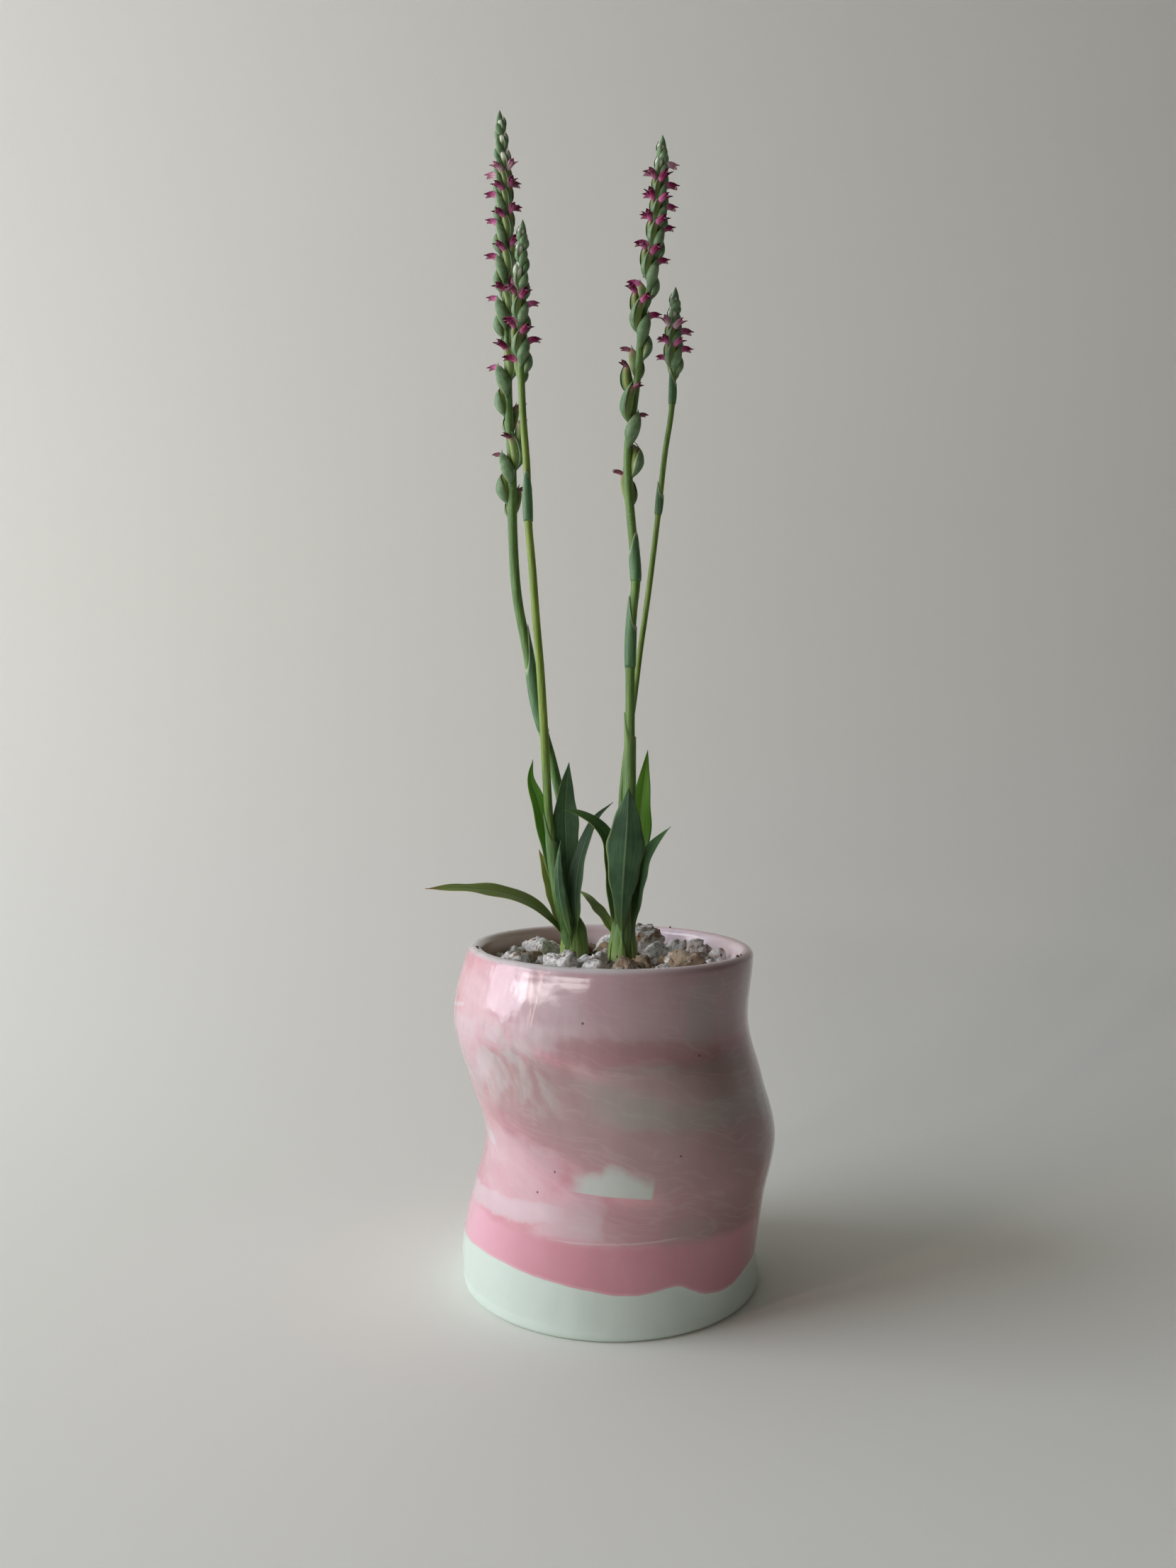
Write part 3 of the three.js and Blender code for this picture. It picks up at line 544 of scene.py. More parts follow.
def patches(kind):
    """Where the patches of one kind lie: squarish blots with soft or crisp edges."""
    shown = 0.0
    for at, height, half_width, half_height, slope, softness, rough, strength in PATCHES[kind]:
        right = arc - at
        across = (right + ragged[0] * rough) / half_width
        up = (z - height - right * slope + ragged[1] * rough * 0.7) / half_height
        across, up = across * across, up * up
        far = across * across + up * up
        blot = clay.rise(far, (1 + softness / 2) ** 4, max(0.02, 1 - softness) ** 4) * strength
        shown = blot.highest(shown)
    return shown


clay = Finish("marbled_clay", IOR=1.5, Coat_Weight=0.35, Coat_Roughness=0.03)
spot, x, y, z = clay.place()
turn_x, turn_y, side, above = clay.marks("turn_x", "turn_y", "side", "above")
arc = clay.node("Math", {"operation": "ARCTAN2"}, {0: turn_x, 1: turn_y * -1.0}) * 46.0
warp = clay.cloud(spot, 24.0, 3.0) - 0.5
fine = clay.cloud(spot + 70.0, 6.0, 4.0, 0.6) - 0.5
other = clay.cloud(spot + 35.0, 9.0, 4.0, 0.6) - 0.5
ragged = (other * 2.0 + warp, fine * 1.6 + warp)
level = z + warp * 12.0 + x * 0.25
cloudy = clay.cloud(clay.vector(x, y, level * 2.2), 30.0, 3.0, 0.55)
clay.paint = clay.mix(clay.rise(cloudy, 0.35, 0.68), "d08f9a", "dca9b0")
dusky = clay.mix(cloudy, "a38888", "b8a19f")
clay.coat(clay.mix(clay.rise(z, 80.0, 89.0) * 0.85, dusky, "c9b0b6"), patches("dusky"))
clay.coat("b48a8f", patches("rosy"))
clay.coat("adb6ac", patches("mint"))
# Swirls where the two clays were folded, on the left shoulder
folds = clay.cloud(clay.vector(x, y, level), 15.0, 4.0, 0.6, 1.6)
shoulder = clay.rise(abs(arc + 36.0 + warp * 14.0), 24.0, 12.0)
shoulder *= clay.rise(abs(z - 76.0 + warp * 10.0), 16.0, 8.0)
clay.coat("c6c7c4", shoulder * 0.6, folds, 0.38, 0.66)
# Milky pale patches: real pale clay, and on the lit left partly a painted reflection
clay.coat("dcd5dc", patches("milky_and_sheen"))
# Painted shade: a dull brown darkens the right-hand side, away from the light.
clay.coat("7a5b57", clay.rise(arc, 110.0, 70.0) * 0.42, arc + warp * 20.0, 4.0, 40.0)
streaks = clay.cloud(clay.vector(x, y, level * 7.0 + 31.0), 40.0, 2.0, 0.6)
clay.coat("dbd3d0", 0.1, abs(streaks - 0.5), 0.03, 0.0)
print("marbled clay:", len(clay.tree.nodes), "nodes so far")

# %% Glaze, bare foot and specks
# A band of strong pink above the glaze line, with a pale line along it; painted light makes it lighter at
# the left.
painted_light_left = clay.rise(arc, -15.0, -55.0) * clay.rise(arc, -135.0, -85.0)
strong = clay.mix(painted_light_left, "cf8d9a", "e8b0c1")
clay.coat(strong, 0.85, z + fine * 3.0 + warp * 3.0 + x * 0.03, 28.6, 25.0)
line = abs(z - 27.6 - arc * 0.03 + fine * 1.2)
clay.coat("dccaca", clay.rise(abs(arc + 2.0), 22.0, 12.0) * 0.5, line, 0.4, 0.1)
# The end of one sheet of pale clay: a straight lower edge and a squared right end
top = 46.6 + clay.rise(abs(arc + 5.5), 5.0, 2.0) * 2.0 - clay.rise(arc, -2.0, 6.0) * 2.0
sheet_end = clay.rise(z + arc * 0.05 - 40.4 + fine * 0.5, -0.3, 0.3)
sheet_end *= clay.rise(z - top + fine * 5.0, 2.4, -2.0)
sheet_end *= clay.rise(arc + fine * 3.0, -20.5, -13.0) * clay.rise(arc + fine * 0.6, 5.9, 4.6)
clay.coat("c6d1c9", sheet_end * 0.9)
# The inside, and the lip, where the glaze runs thin
inside = clay.mix(clay.rise(x + warp * 20.0, -22.0, 6.0), "d3bcb6", "f1dce4")
clay.coat(inside, 1.0, side, 0.45, 0.75)
clay.coat("d9d8d8", clay.rise(x, 34.0, -8.0) * 0.8, abs(side - 0.42), 0.32, 0.12)
# Below the line the bare clay shows.
above = above + fine * 0.7
glazed = clay.rise(above, -0.22, 0.22).highest(clay.rise(side, 0.0, 0.1))
bare = clay.mix(clay.cloud(spot, 14.0, 4.0), "cbdcd1", "d5e3da")
clay.paint = clay.mix(glazed, bare, clay.paint)
clay.coat("e6d2d2", 0.25, abs(above - 0.3), 0.6, 0.1)
# Dark specks: a few scattered ones, and those in the front, by place round the pot and height
speck = clay.rise(clay.cells(spot, 15.0), 0.022, 0.012)
for at, height in ((-24.0, 46.0), (-29.0, 39.0), (14.0, 52.0), (-6.0, 90.0), (29.0, 79.0)):
    far = (arc - at) * (arc - at) + (z - height) * (z - height)
    speck = speck.highest(clay.rise(far, 0.2, 0.06) * clay.rise(side, 0.1, 0.0))
clay.coat("54302c", speck * 0.75)
# The glaze lies in soft upright waves, strongest on the left shoulder.
skin = clay.cloud(spot, 2.2, 3.0)
wavy = clay.rise(abs(arc + 48.0), 43.0, 16.0) * clay.rise(z, 48.0, 66.0)
waves = clay.cloud(clay.vector(x, y, z * 0.5), 8.5, 2.0) * (0.2 + wavy * 0.8)
clay.set(Base_Color=clay.paint, Roughness=0.34 - glazed * 0.23 + skin * 0.04,
         Normal=clay.bump(skin * 0.03 + waves, 1.3))

pot = Heap()
pot.add(pot_skin())
pot.piece("marbled_pot", [clay], "marbled_clay", ["pot"])
print("marbled clay:", len(clay.tree.nodes), "nodes")

# %% [markdown]
# ## Potting mix and pumice
#
# The mix is dark bark and grit. Only its bumpy top can be seen, between the pumice, so the top is a disc
# of rings with small lumps in it, closed by the sides and the floor that it has in the pot.

# %% Potting mix
MIX_TOP = 92.0


def mix_skin():
    way, rings = level_way(circle(120)), []
    for z in (7.4, 20, 40, 60, 80, 91):
        radius = (outer_radius(z) if z > 8 else 45.2) - WALL - 0.5
        rings.append(POT_CENTRE(z) + radius * way)
    for radius in np.linspace(40.5, 0.6, 44):
        ring = POT_CENTRE(MIX_TOP) + radius * way
        lumps = [noise.fractal(Vector((x, y, 3)) / 5, 0.9, 2.1, 4) for x, y, _ in ring]
        ring[:, 2] += 1.0 + 1.1 * np.array(lumps)
        rings.append(ring)
    return loft(rings)


bark = Finish("bark_mix", Roughness=0.9)
spot = bark.place()[0]
grain = bark.cloud(spot, 1.6, 4.0, 0.7)
bark.paint = bark.mix(bark.rise(grain, 0.35, 0.62), "1d120c", "5a4130")
bark.coat("6b5744", 0.5, bark.cloud(spot + 40.0, 3.2, 2.0), 0.6, 0.66)
bark.set(Base_Color=bark.paint, Normal=bark.bump(grain, 0.6))
mix = Heap()
mix.add(mix_skin())
mix.piece("potting_mix_bed", [bark], "potting_mix", ["potting_mix"])

# %% [markdown]
# Pumice is a glassy froth: white to grey, full of pits, with rusty stains. It breaks into blocks, so
# each CAD lump is remeshed into small even faces, squared off and cut flat at its corners. Then every
# point is moved in or out by layered noise, with tipped cells for the broken faces. The depth of a pit
# is kept as a mark, so that the finish can paint shade into it. Blender's vector noise is given a seed, or
# each run would tip the broken faces another way.

# %% Pumice lumps
GRAIN_SIZE = 0.5
# No lump reaches farther from the middle of the pot. Some press a little into the wall, and none
# comes out through it.
STONES_REACH = 40.2
noise.seed_set(1)


def worn(points, seed):
    """How far each point of a stone stands out, in millimetres, and how deep its pit is."""
    found = []
    for point in points:
        q = Vector(point) + Vector((seed * 17.0, seed * 5.0, 0))
        rock = noise.fractal(q / 4.6, 0.8, 2.0, 2) * 0.7
        ridge = abs(noise.noise(q / 2.9)) - 0.2
        centre = noise.voronoi(q / 3.4)[1][0]
        facet = (q / 3.4 - centre).dot(noise.noise_vector(centre * 5.3).normalized()) * 1.25
        pit = max(0.0, 0.42 - noise.voronoi(q / 1.3)[0][0]) * 1.6
        grit = noise.noise(q / 0.65) * 0.26
        out = rock - ridge * 0.6 + facet - 0.4 - pit + grit
        found.append((out, pit * 1.4 + max(0.0, ridge) * 0.35))
    return np.array(found).T


def even_mesh(node):
    """A CAD lump remeshed into small even faces: its points, their normals, and the faces."""
    lump = bpy.data.objects.new("lump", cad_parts[node].data.copy())
    bpy.context.scene.collection.objects.link(lump)
    remesh = lump.modifiers.new("even", "REMESH")
    remesh.mode, remesh.voxel_size = "VOXEL", GRAIN_SIZE * MM
    smoother = lump.modifiers.new("worn", "SMOOTH")
    smoother.factor, smoother.iterations = 0.5, 2
    ready = lump.evaluated_get(bpy.context.evaluated_depsgraph_get())
    mesh, old = bpy.data.meshes.new_from_object(ready), lump.data
    points = np.array([v.co for v in mesh.vertices]) / MM
    normals = np.array([v.normal for v in mesh.vertices])
    faces = [tuple(p.vertices) for p in mesh.polygons]
    bpy.data.objects.remove(lump)
    bpy.data.meshes.remove(old)
    bpy.data.meshes.remove(mesh)
    return points, normals, faces


def rough_lump(node, seed):
    """The CAD lump's own form, squared off, chipped and worn rough."""
    points, normals, faces = even_mesh(node)
    draws = np.random.default_rng(seed)
    middle = np.array([*points.mean(0)[:2], MIX_TOP])
    front = float(soft_step(-middle[1], 8, 20))
    wide = draws.uniform(1.15, 1.42) + 0.3 * front
    points = middle + (points - middle) * (wide, wide, 0.98 + 0.3 * front)
    heart = points.mean(0)
    turn = np.linalg.qr(draws.normal(size=(3, 3)))[0]
    box = (points - heart) / (np.ptp(points, axis=0) / 2) @ turn
    squarer = np.linalg.norm(box, axis=1) / (np.abs(box) ** 5).sum(1) ** 0.2
    points = heart + (points - heart) * squarer[:, None]
    for _ in range(11):
        way = draws.normal(size=3)
        way[2] = abs(way[2]) - 0.25
        way = unit(way)
        far = (points - heart) @ way
        points -= np.maximum(0, far - far.max() * draws.uniform(0.6, 0.88))[:, None] * way
    moved, depth = worn(points, seed)
    # The foot stays on the mix.
    moved = (moved + 1.0) * soft_step(points[:, 2], MIX_TOP + 0.2, MIX_TOP + 2.5)
    points += normals * moved[:, None]
    out = points[:, :2] - POT_CENTRE(MIX_TOP + 6)[0, :2]
    points[:, :2] -= out * np.maximum(0, 1 - STONES_REACH / np.linalg.norm(out, axis=1))[:, None]
    return points, faces, {"depth": depth, "tone": np.full(len(points), seed * 0.618 % 1)}


pumice_nodes = sorted(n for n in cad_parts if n.startswith("pumice_"))
print(len(pumice_nodes), "lumps of pumice")

# %% Pumice finish
stone = Finish("pumice", Roughness=0.9)
spot = stone.place()[0]
depth, tone = stone.marks("depth", "tone")
patch = stone.cloud(spot + tone * 90.0, 4.5, 4.0, 0.65)
fine = stone.cloud(spot, 0.9, 4.0, 0.7)
stone.paint = stone.mix(stone.rise(patch + (tone - 0.5) * 0.7, 0.49, 0.65), "fdfcfa", "a08d74")
# Grey, rust and grain, then painted shade in the pits, and dark specks
stone.coat("97907f", 0.5, stone.cloud(spot + 57.0, 2.6, 3.0, 0.7), 0.5, 0.62)
stone.coat("a5703c", 0.75, stone.cloud(spot + 31.0, 3.6, 3.0, 0.65), 0.54, 0.68)
stone.coat("857a6c", 0.4, fine, 0.52, 0.74)
stone.coat("3d3026", 0.85, depth + (fine - 0.5) * 0.3, 0.2, 0.7)
stone.coat("3b3028", 0.7, stone.cells(spot, 1.7), 0.16, 0.08)
stone.set(Base_Color=stone.paint, Normal=stone.bump(fine, 0.7))

dressing = Heap()
for i, node in enumerate(pumice_nodes):
    dressing.add(rough_lump(node, i + 1))
dressing.piece("pumice_dressing", [stone], "pumice", pumice_nodes)

# %% [markdown]
# Between the lumps lie smaller lumps, the grit that breaks off them, and dark crumbs of bark. Each chip
# is a small ball of triangles, pulled out of shape and turned any way. They are scattered with a seed,
# so every run puts them in the same places.

# %% Chips and crumbs
def ball_form(splits):
    """The corners and faces of a ball made from twenty triangles, split so many times."""
    ball, work = bpy.data.meshes.new("ball"), bmesh.new()
    bmesh.ops.create_icosphere(work, subdivisions=splits, radius=1.0)
    work.to_mesh(ball)
    work.free()
    corners = np.array([v.co for v in ball.vertices])
    faces = [tuple(p.vertices) for p in ball.polygons]
    bpy.data.meshes.remove(ball)
    return corners, faces


CHIP_FORM, PEBBLE_FORM = ball_form(2), ball_form(4)
LEFT_CROWN, RIGHT_CROWN = (-11.3, 10.5), (3.7, 2.4)
rng = np.random.default_rng(7)


def turned(corners, faces, pull, place):
    """A form pulled along its own axes, turned any way and set down at place."""
    turn = np.linalg.qr(rng.normal(size=(3, 3)))[0]
    points = (corners * pull) @ turn.T + np.asarray(place)
    return points, faces if np.linalg.det(turn) > 0 else [f[::-1] for f in faces]


def chip(place, size, flat=0.75):
    """One angular bit of about that size across, at place."""
    corners, faces = CHIP_FORM
    lumps = 1 + 0.22 * rng.normal(size=(len(corners), 1)).clip(-1, 1)
    pull = size / 2 * np.array([1.0, rng.uniform(0.65, 1.0), flat * rng.uniform(0.6, 1.0)])
    return *turned(corners * lumps, faces, pull, place), {}


def pebble(place, size, seed):
    """A smaller lump of pumice, worn in the same way as the large ones."""
    corners, faces = PEBBLE_FORM
    pull = size / 2 * np.array([1.0, rng.uniform(0.7, 0.95), rng.uniform(0.6, 0.85)])
    points, faces = turned(corners, faces, pull, place)
    moved, depth = worn(points, seed)
    points += unit(points - np.asarray(place)) * (0.7 + 0.75 * moved[:, None])
    return points, faces, {"depth": depth}


lump_spots = []
for low, high in map(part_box, pumice_nodes):
    lump_spots.append((*((low + high) / 2 / MM)[:2], (high - low).x / 2 / MM))


def free_spot(least, clear=0.0):
    """A place on the mix between the lumps, and that clear of the middles of both clumps."""
    while True:
        reach, turn = 38.5 * math.sqrt(rng.random()), rng.uniform(0, 2 * math.pi)
        x, y = reach * math.cos(turn) - 1.8, reach * math.sin(turn) - 0.3
        if min(math.dist((x, y), LEFT_CROWN), math.dist((x, y), RIGHT_CROWN)) < clear:
            continue
        if all(math.hypot(x - a, y - b) > r * least for a, b, r in lump_spots):
            return x, y


grit, crumbs = Heap(), Heap()
for i in range(46):
    x, y = free_spot(0.85, 8.0)
    size = rng.uniform(4.8, 7.8)
    grit.add(pebble((x, y, MIX_TOP + 1.6 + size * 0.4), size, i + 60), tone=rng.random())
for _ in range(420):
    x, y = free_spot(0.8)
    size = rng.uniform(1.0, 3.6)
    place = (x, y, MIX_TOP + 1.2 + size * 0.35 + 2.2 * rng.random())
    grit.add(chip(place, size), depth=rng.uniform(0, 0.2), tone=rng.random())
grit.piece("pumice_grit", [stone], "pumice")
for _ in range(260):
    x, y = free_spot(0.7)
    crumbs.add(chip((x, y, MIX_TOP + 2.0 + 2.6 * rng.random()), rng.uniform(0.6, 2.2), 0.5))
# Dry brown scraps lie where the clumps come out of the stones, and a few on the lip.
for (x, y), radius in ((LEFT_CROWN, 5.1), (RIGHT_CROWN, 4.7)):
    for _ in range(46):
        turn, rise = rng.uniform(0, 2 * math.pi), rng.random()
        out = radius + 1.2 * (1 - rise)
        place = (x + out * math.cos(turn), y + out * math.sin(turn), MIX_TOP + 4.0 + 5.0 * rise)
        crumbs.add(chip(place, rng.uniform(0.6, 2.2) * (1.1 - 0.5 * rise), 0.4))
for degrees, size in ((-78, 0.9), (-74, 0.6), (62, 1.0), (66, 0.6), (-14, 0.5), (150, 0.8), (-160, 0.7)):
    side, back = math.cos(math.radians(degrees - 90)), math.sin(math.radians(degrees - 90))
    crumbs.add(chip((42.5 * side, 42.5 * back, LIP_HEIGHT + 0.1 - 0.5 * side), size))
crumbs.piece("dark_crumbs", [bark], "potting_mix")
print(len(lump_spots), "lumps kept clear")

# %% [markdown]
# ## Leaves
#
# A leaf is a channelled blade along a curved midrib: narrow at its foot, widest part way up and pointed.
# Lower down it wraps round its clump like a sheath. So each cross-section starts as a flat one and is
# bent round the clump's axis towards the foot. The midribs are those of the CAD leaves.

# %% Leaf measures
LEFT_LEAVES = [
    # midrib, width, facing, foot, widest, cup, point, then olive, painted light and shade (above 0 painted
    # back-light, below 0 painted shade) and brown of the finish
    ([(-12, 9.6, 101), (-17, 8, 108.9), (-25, 5.5, 116.4), (-35, 3, 120.4), (-48, 0.5, 122.2),
      (-58.6, -1, 122.3)], 7.2, (0.25, -0.5, 1), 0.42, 0.5, 0.22, 1.7, (0.75, 0.0, 1.0)),
    ([(-13.6, 9.2, 104), (-17.6, 9, 122), (-20.4, 8.2, 136), (-23.3, 7.2, 149), (-25.7, 6.2, 157),
      (-24.9, 5.4, 163)], 5.4, (0.3, -1, 0.2), 0.45, 0.68, 0.24, 1.5, (0.0, 0.8, 0.0)),
    ([(-13.4, 10.6, 100), (-17.6, 10, 121), (-20.4, 9.4, 137), (-22.6, 9.2, 147.5), (-24.2, 9, 153.6)],
     4.6, (0.3, -1, 0.3), 0.5, 0.5, 0.22, 1.6, (0.0, 0.0, 0.0)),
    ([(-13.6, 10.2, 101), (-17.7, 8.8, 117), (-21.0, 8, 127.5), (-23.1, 7.6, 134)],
     4.8, (0.1, -1, 0.3), 0.6, 0.55, 0.2, 1.5, (1.0, 0.0, 1.4)),
    ([(-12, 6.8, 102), (-16, 4.2, 118), (-16.8, 3.2, 129), (-15.9, 2.8, 137.5)],
     3.7, (0.5, 1, 0.2), 0.6, 0.5, 0.22, 1.6, (0.0, -0.3, 0.0)),
    ([(-11.4, 8.4, 101), (-13.4, 8.6, 121), (-14.2, 8.4, 134), (-14.6, 7.8, 145), (-14.2, 7.4, 155),
      (-13.4, 7, 162)], 8.4, (0.15, -1, 0.2), 0.35, 0.66, 0.22, 1.5, (0.0, 0.0, 0.0)),
    ([(-10, 8, 101), (-11, 5.6, 115), (-10.4, 5.4, 128), (-7.6, 6, 138), (-4.4, 7, 144.4),
      (0.8, 8.4, 149.2)],
     5.4, (-0.75, -0.9, 0.3), 0.5, 0.5, 0.26, 1.7, (0.0, -1.0, 0.0)),
]
RIGHT_LEAVES = [
    ([(4, -0.4, 101), (3.2, -3.4, 113), (3.6, -6.4, 126), (4.4, -7.4, 138), (5, -7.2, 148),
      (5.4, -6.4, 154.2)], 11.6, (0.05, 1, 0.1), 0.16, 0.68, 0.15, 1.5, (0.0, -0.45, 0.0)),
    ([(5.4, 4.6, 101), (7.6, 6.4, 121), (9.1, 7.2, 138), (10.3, 8, 152), (12, 9, 166)],
     7.6, (-0.2, -1, 0.2), 0.36, 0.6, 0.18, 1.5, (0.1, 1.0, 0.0)),
    ([(6, 1.4, 101), (7.6, 0.8, 118), (9.6, 0.4, 127.5), (12.6, -0.6, 134.8), (15.6, -1.8, 138.8),
      (18.6, -3, 142)], 6.2, (-0.6, -0.9, 0.5), 0.5, 0.5, 0.26, 1.6, (0.0, 0.2, 0.0)),
    ([(1.6, 2.6, 102), (0.4, 1.8, 122), (-0.6, 0.2, 136.5), (-4.6, -0.6, 142.6), (-10.4, -1.4, 146.2),
      (-15, -2.2, 147.2)], 6.2, (0.4, -0.8, 0.7), 0.45, 0.62, 0.22, 1.6, (0.1, 0.15, 0.0)),
    ([(1.2, 4.4, 101), (-0.4, 6.2, 109.5), (-4.4, 11.4, 114.6), (-7.8, 16.6, 117.8), (-11, 21.4, 119.4)],
     3.9, (0.2, -0.6, 1), 0.7, 0.5, 0.22, 1.6, (0.7, 0.0, 0.6)),
]
print(len(LEFT_LEAVES) + len(RIGHT_LEAVES), "leaves")

# %% Leaf line
def leaf_line(points, shares):
    """Points and directions at shares of the length of the centripetal curve through points."""
    p = np.array(points, float)
    p = np.vstack([2 * p[0] - p[1], p, 2 * p[-1] - p[-2]])
    s = np.linspace(0, 1, 60)[:, None]
    traced = []
    for a, b, c, d in zip(p, p[1:], p[2:], p[3:]):
        e, f, g = (max(np.linalg.norm(v), 1e-6) ** 0.5 for v in (b - a, c - b, d - c))
        leave = ((b - a) / e - (c - a) / (e + f) + (c - b) / f) * f
        arrive = ((c - b) / f - (d - b) / (f + g) + (d - c) / g) * f
        traced.append((2 * s**3 - 3 * s**2 + 1) * b + (s**3 - 2 * s**2 + s) * leave
                      + (3 * s**2 - 2 * s**3) * c + (s**3 - s**2) * arrive)
    line = np.vstack(traced)
    length = np.concatenate([[0], np.cumsum(np.linalg.norm(np.diff(line, axis=0), axis=1))])
    length /= length[-1]
    keep = np.concatenate([[True], np.diff(length) > 1e-9])
    at = [np.interp(shares, length[keep], line[keep, k]) for k in range(3)]
    centre = np.column_stack(at)
    return centre, unit(np.gradient(centre, axis=0))


print("the low leaf runs from and to", leaf_line(LEFT_LEAVES[0][0], [0, 1])[0].round(1).tolist())

# %% Leaf skin
ALONG, ACROSS = 56, 15
# The clump's own radius by height, which the leaf feet wrap
CLUMP = smooth([86, 99, 104, 110, 118], [5.0, 4.95, 4.6, 3.9, 3.1])


def leaf_skin(leaf, crown, nest):
    """A leaf's blade, and its foot wrapped round the crown; nest is its layer, 0 the outermost."""
    midrib, width, facing, foot, widest, cup, point, _ = leaf
    share = np.linspace(0, 1, ALONG) ** 0.95
    centre, along = leaf_line(midrib, share)
    side = unit(np.cross(along, facing))
    normal = unit(np.cross(side, along))
    full = foot + (1 - foot) * soft_step(share, 0.08, widest)
    taper = 1 - np.clip((share - widest) / (1 - widest), 0, 1) ** point
    half = np.maximum(0.05, 0.5 * width * np.where(share < widest, full, taper))[:, None]
    # Margins ripple and are nicked, and the blade is folded a little along its midrib.
    s = np.linspace(-1, 1, ACROSS)[None, :]
    ripple = 0.03 * width * np.sin(share * 23 + nest * 2)[:, None] * np.sign(s) * np.abs(s) ** 3
    nick = 1 + 0.05 * np.sin(share * 31 + nest)[:, None] * soft_step(np.abs(s), 0.7, 1)
    lift = (cup * half * np.abs(s) ** 1.25 + ripple) * np.minimum(1, share * 3)[:, None]
    lift = lift - 0.12 * np.exp(-((s / 0.09) ** 2))
    blade = centre[:, None] + side[:, None] * (half * s * nick)[..., None]
    blade = blade + normal[:, None] * lift[..., None]

    # Where the midrib is still close to the clump, its cross-section bends round it.
    out = centre[:, :2] - np.array(crown)
    start = out[int(0.16 * ALONG)]
    toward = math.atan2(start[1], start[0])
    beside = level_way(toward + math.pi / 2)
    hand = np.clip(np.sign(np.cross(facing, (0, 0, 1)) @ beside), -1, 1)
    near = 1 - soft_step(np.linalg.norm(out, axis=1), 2.8, 6.0)
    hug = near * (1 - soft_step(centre[:, 2], 103, 117))

    def wrapped(z, half):
        radius = CLUMP(z)[:, :1] + 0.1 - 0.16 * nest
        turn = toward + s * np.minimum(1.9, 1.35 * half / radius) * hand
        round_clump = radius[..., None] * level_way(turn)
        return round_clump + np.column_stack([np.tile(crown, (len(z), 1)), z])[:, None]

    blade = blade + (wrapped(centre[:, 2], half) - blade) * hug[:, None, None]
    below = np.arange(90.0, centre[0, 2] - 0.8, 1.6)
    foot_rows = wrapped(below, np.full((len(below), 1), half[0, 0]))
    shares = np.concatenate([np.zeros(len(below)), share])[:, None]
    thick = 0.2 + 0.42 * (1 - np.abs(s)) ** 0.8 * (1 - 0.4 * shares)
    thick = thick * np.minimum(1, (1.02 - shares) * 9)
    return sheet(np.concatenate([foot_rows, blade]), thick, along=shares, across=s)


print("leaves have", ALONG, "sections of", ACROSS, "points")

# %% Clump core
def core_skin(crown):
    """The closed heart of a clump, which the leaf feet wrap."""
    heights = np.linspace(88, 113, 16)
    radius = CLUMP(heights)[:, 0] - 0.75
    radius[-3:] *= (0.85, 0.55, 0.2)
    around = circle(28)
    grow = 1 + 0.05 * np.cos(around * 3 + 1)[None] * soft_step(heights, 95, 104)[:, None]
    rings = (radius[:, None] * grow)[..., None] * level_way(around)
    return loft(rings + np.array([(*crown, z) for z in heights])[:, None])

# %% [markdown]
# A leaf's green isn't one green. The midrib and the thin margin are paler, fine veins run along the
# blade, the foot fades to a pale yellow-green and then to brown where it comes out of the mix, and the
# old low ones are olive with a brown tip. Some leaves get painted back-light, as if lit from behind, and
# some get painted shade. The blade carries marks for how far along and across a point lies, so the
# finish can put each of these in its place.

# %% Leaf finish
leaf = Finish("leaf", IOR=1.36)
spot, x, y, z = leaf.place()
along, across, olive, bright, brown = leaf.marks("along", "across", "olive", "bright", "brown")
mottle = leaf.cloud(spot, 6.0, 4.0, 0.6)
veins = leaf.cloud(leaf.vector(across * 9.0, along * 2.5, olive * 7.0), 1.0, 2.0)
lit = bright.highest(0.0)
leaf.paint = leaf.mix(leaf.rise(mottle, 0.35, 0.68), "35573a", "4a6f47")
leaf.coat("64835a", 0.25, veins, 0.42, 0.62)
# Painted back-light: leaves whose mark is above 0 turn yellow-green, as if lit from behind.
leaf.coat("75965a", lit * 0.8, along, 0.62, 0.45)
leaf.coat("5f9c22", lit * 0.9, along, 0.45, 0.62)
# Painted shade: leaves whose mark is below 0 are darkened.
leaf.coat("1d3825", 0.7, bright, 0.0, -1.0)
leaf.coat("8b9a48", olive * 0.8)
# Midrib and margin
leaf.coat("86a578", 0.5, abs(across), 0.075, 0.02)
leaf.coat("a3a85a", 0.35 + olive * 0.5, abs(across), 0.9, 0.99)
# Foot
leaf.coat("8aab52", 0.65, z + mottle * 8.0, 124.0, 102.0)
leaf.coat("b9c48e", 0.7, z + mottle * 5.0 + veins * 3.0, 108.0, 101.0)
leaf.coat("6b4a2c", 0.85, z + mottle * 5.0, 101.8, 99.0)
# Withered tip and dark specks
withered = leaf.rise(brown, 0.0, 1.0) * 0.85
leaf.coat("8f5f2c", withered, along + (mottle - 0.5) * 0.06, 0.9, 0.99)
leaf.coat("2c3a22", 0.6, leaf.cells(spot, 4.0), 0.07, 0.04)
leaf.set(Base_Color=leaf.paint, Roughness=0.4 + mottle * 0.2,
         Normal=leaf.bump(veins * 0.7 + mottle * 0.3, 0.12))

for name, leaves, crown in (("left", LEFT_LEAVES, LEFT_CROWN), ("right", RIGHT_LEAVES, RIGHT_CROWN)):
    clump = Heap()
    clump.add(core_skin(crown), along=0.1, across=0.5)
    for nest, measures in enumerate(leaves):
        olive, bright, brown = measures[-1]
        skin = leaf_skin(measures, crown, nest)
        clump.add(skin, olive=olive, bright=bright, brown=brown)
    clump.piece(name + "_clump", [leaf], "leaves", [name + "_leafy_crown"])

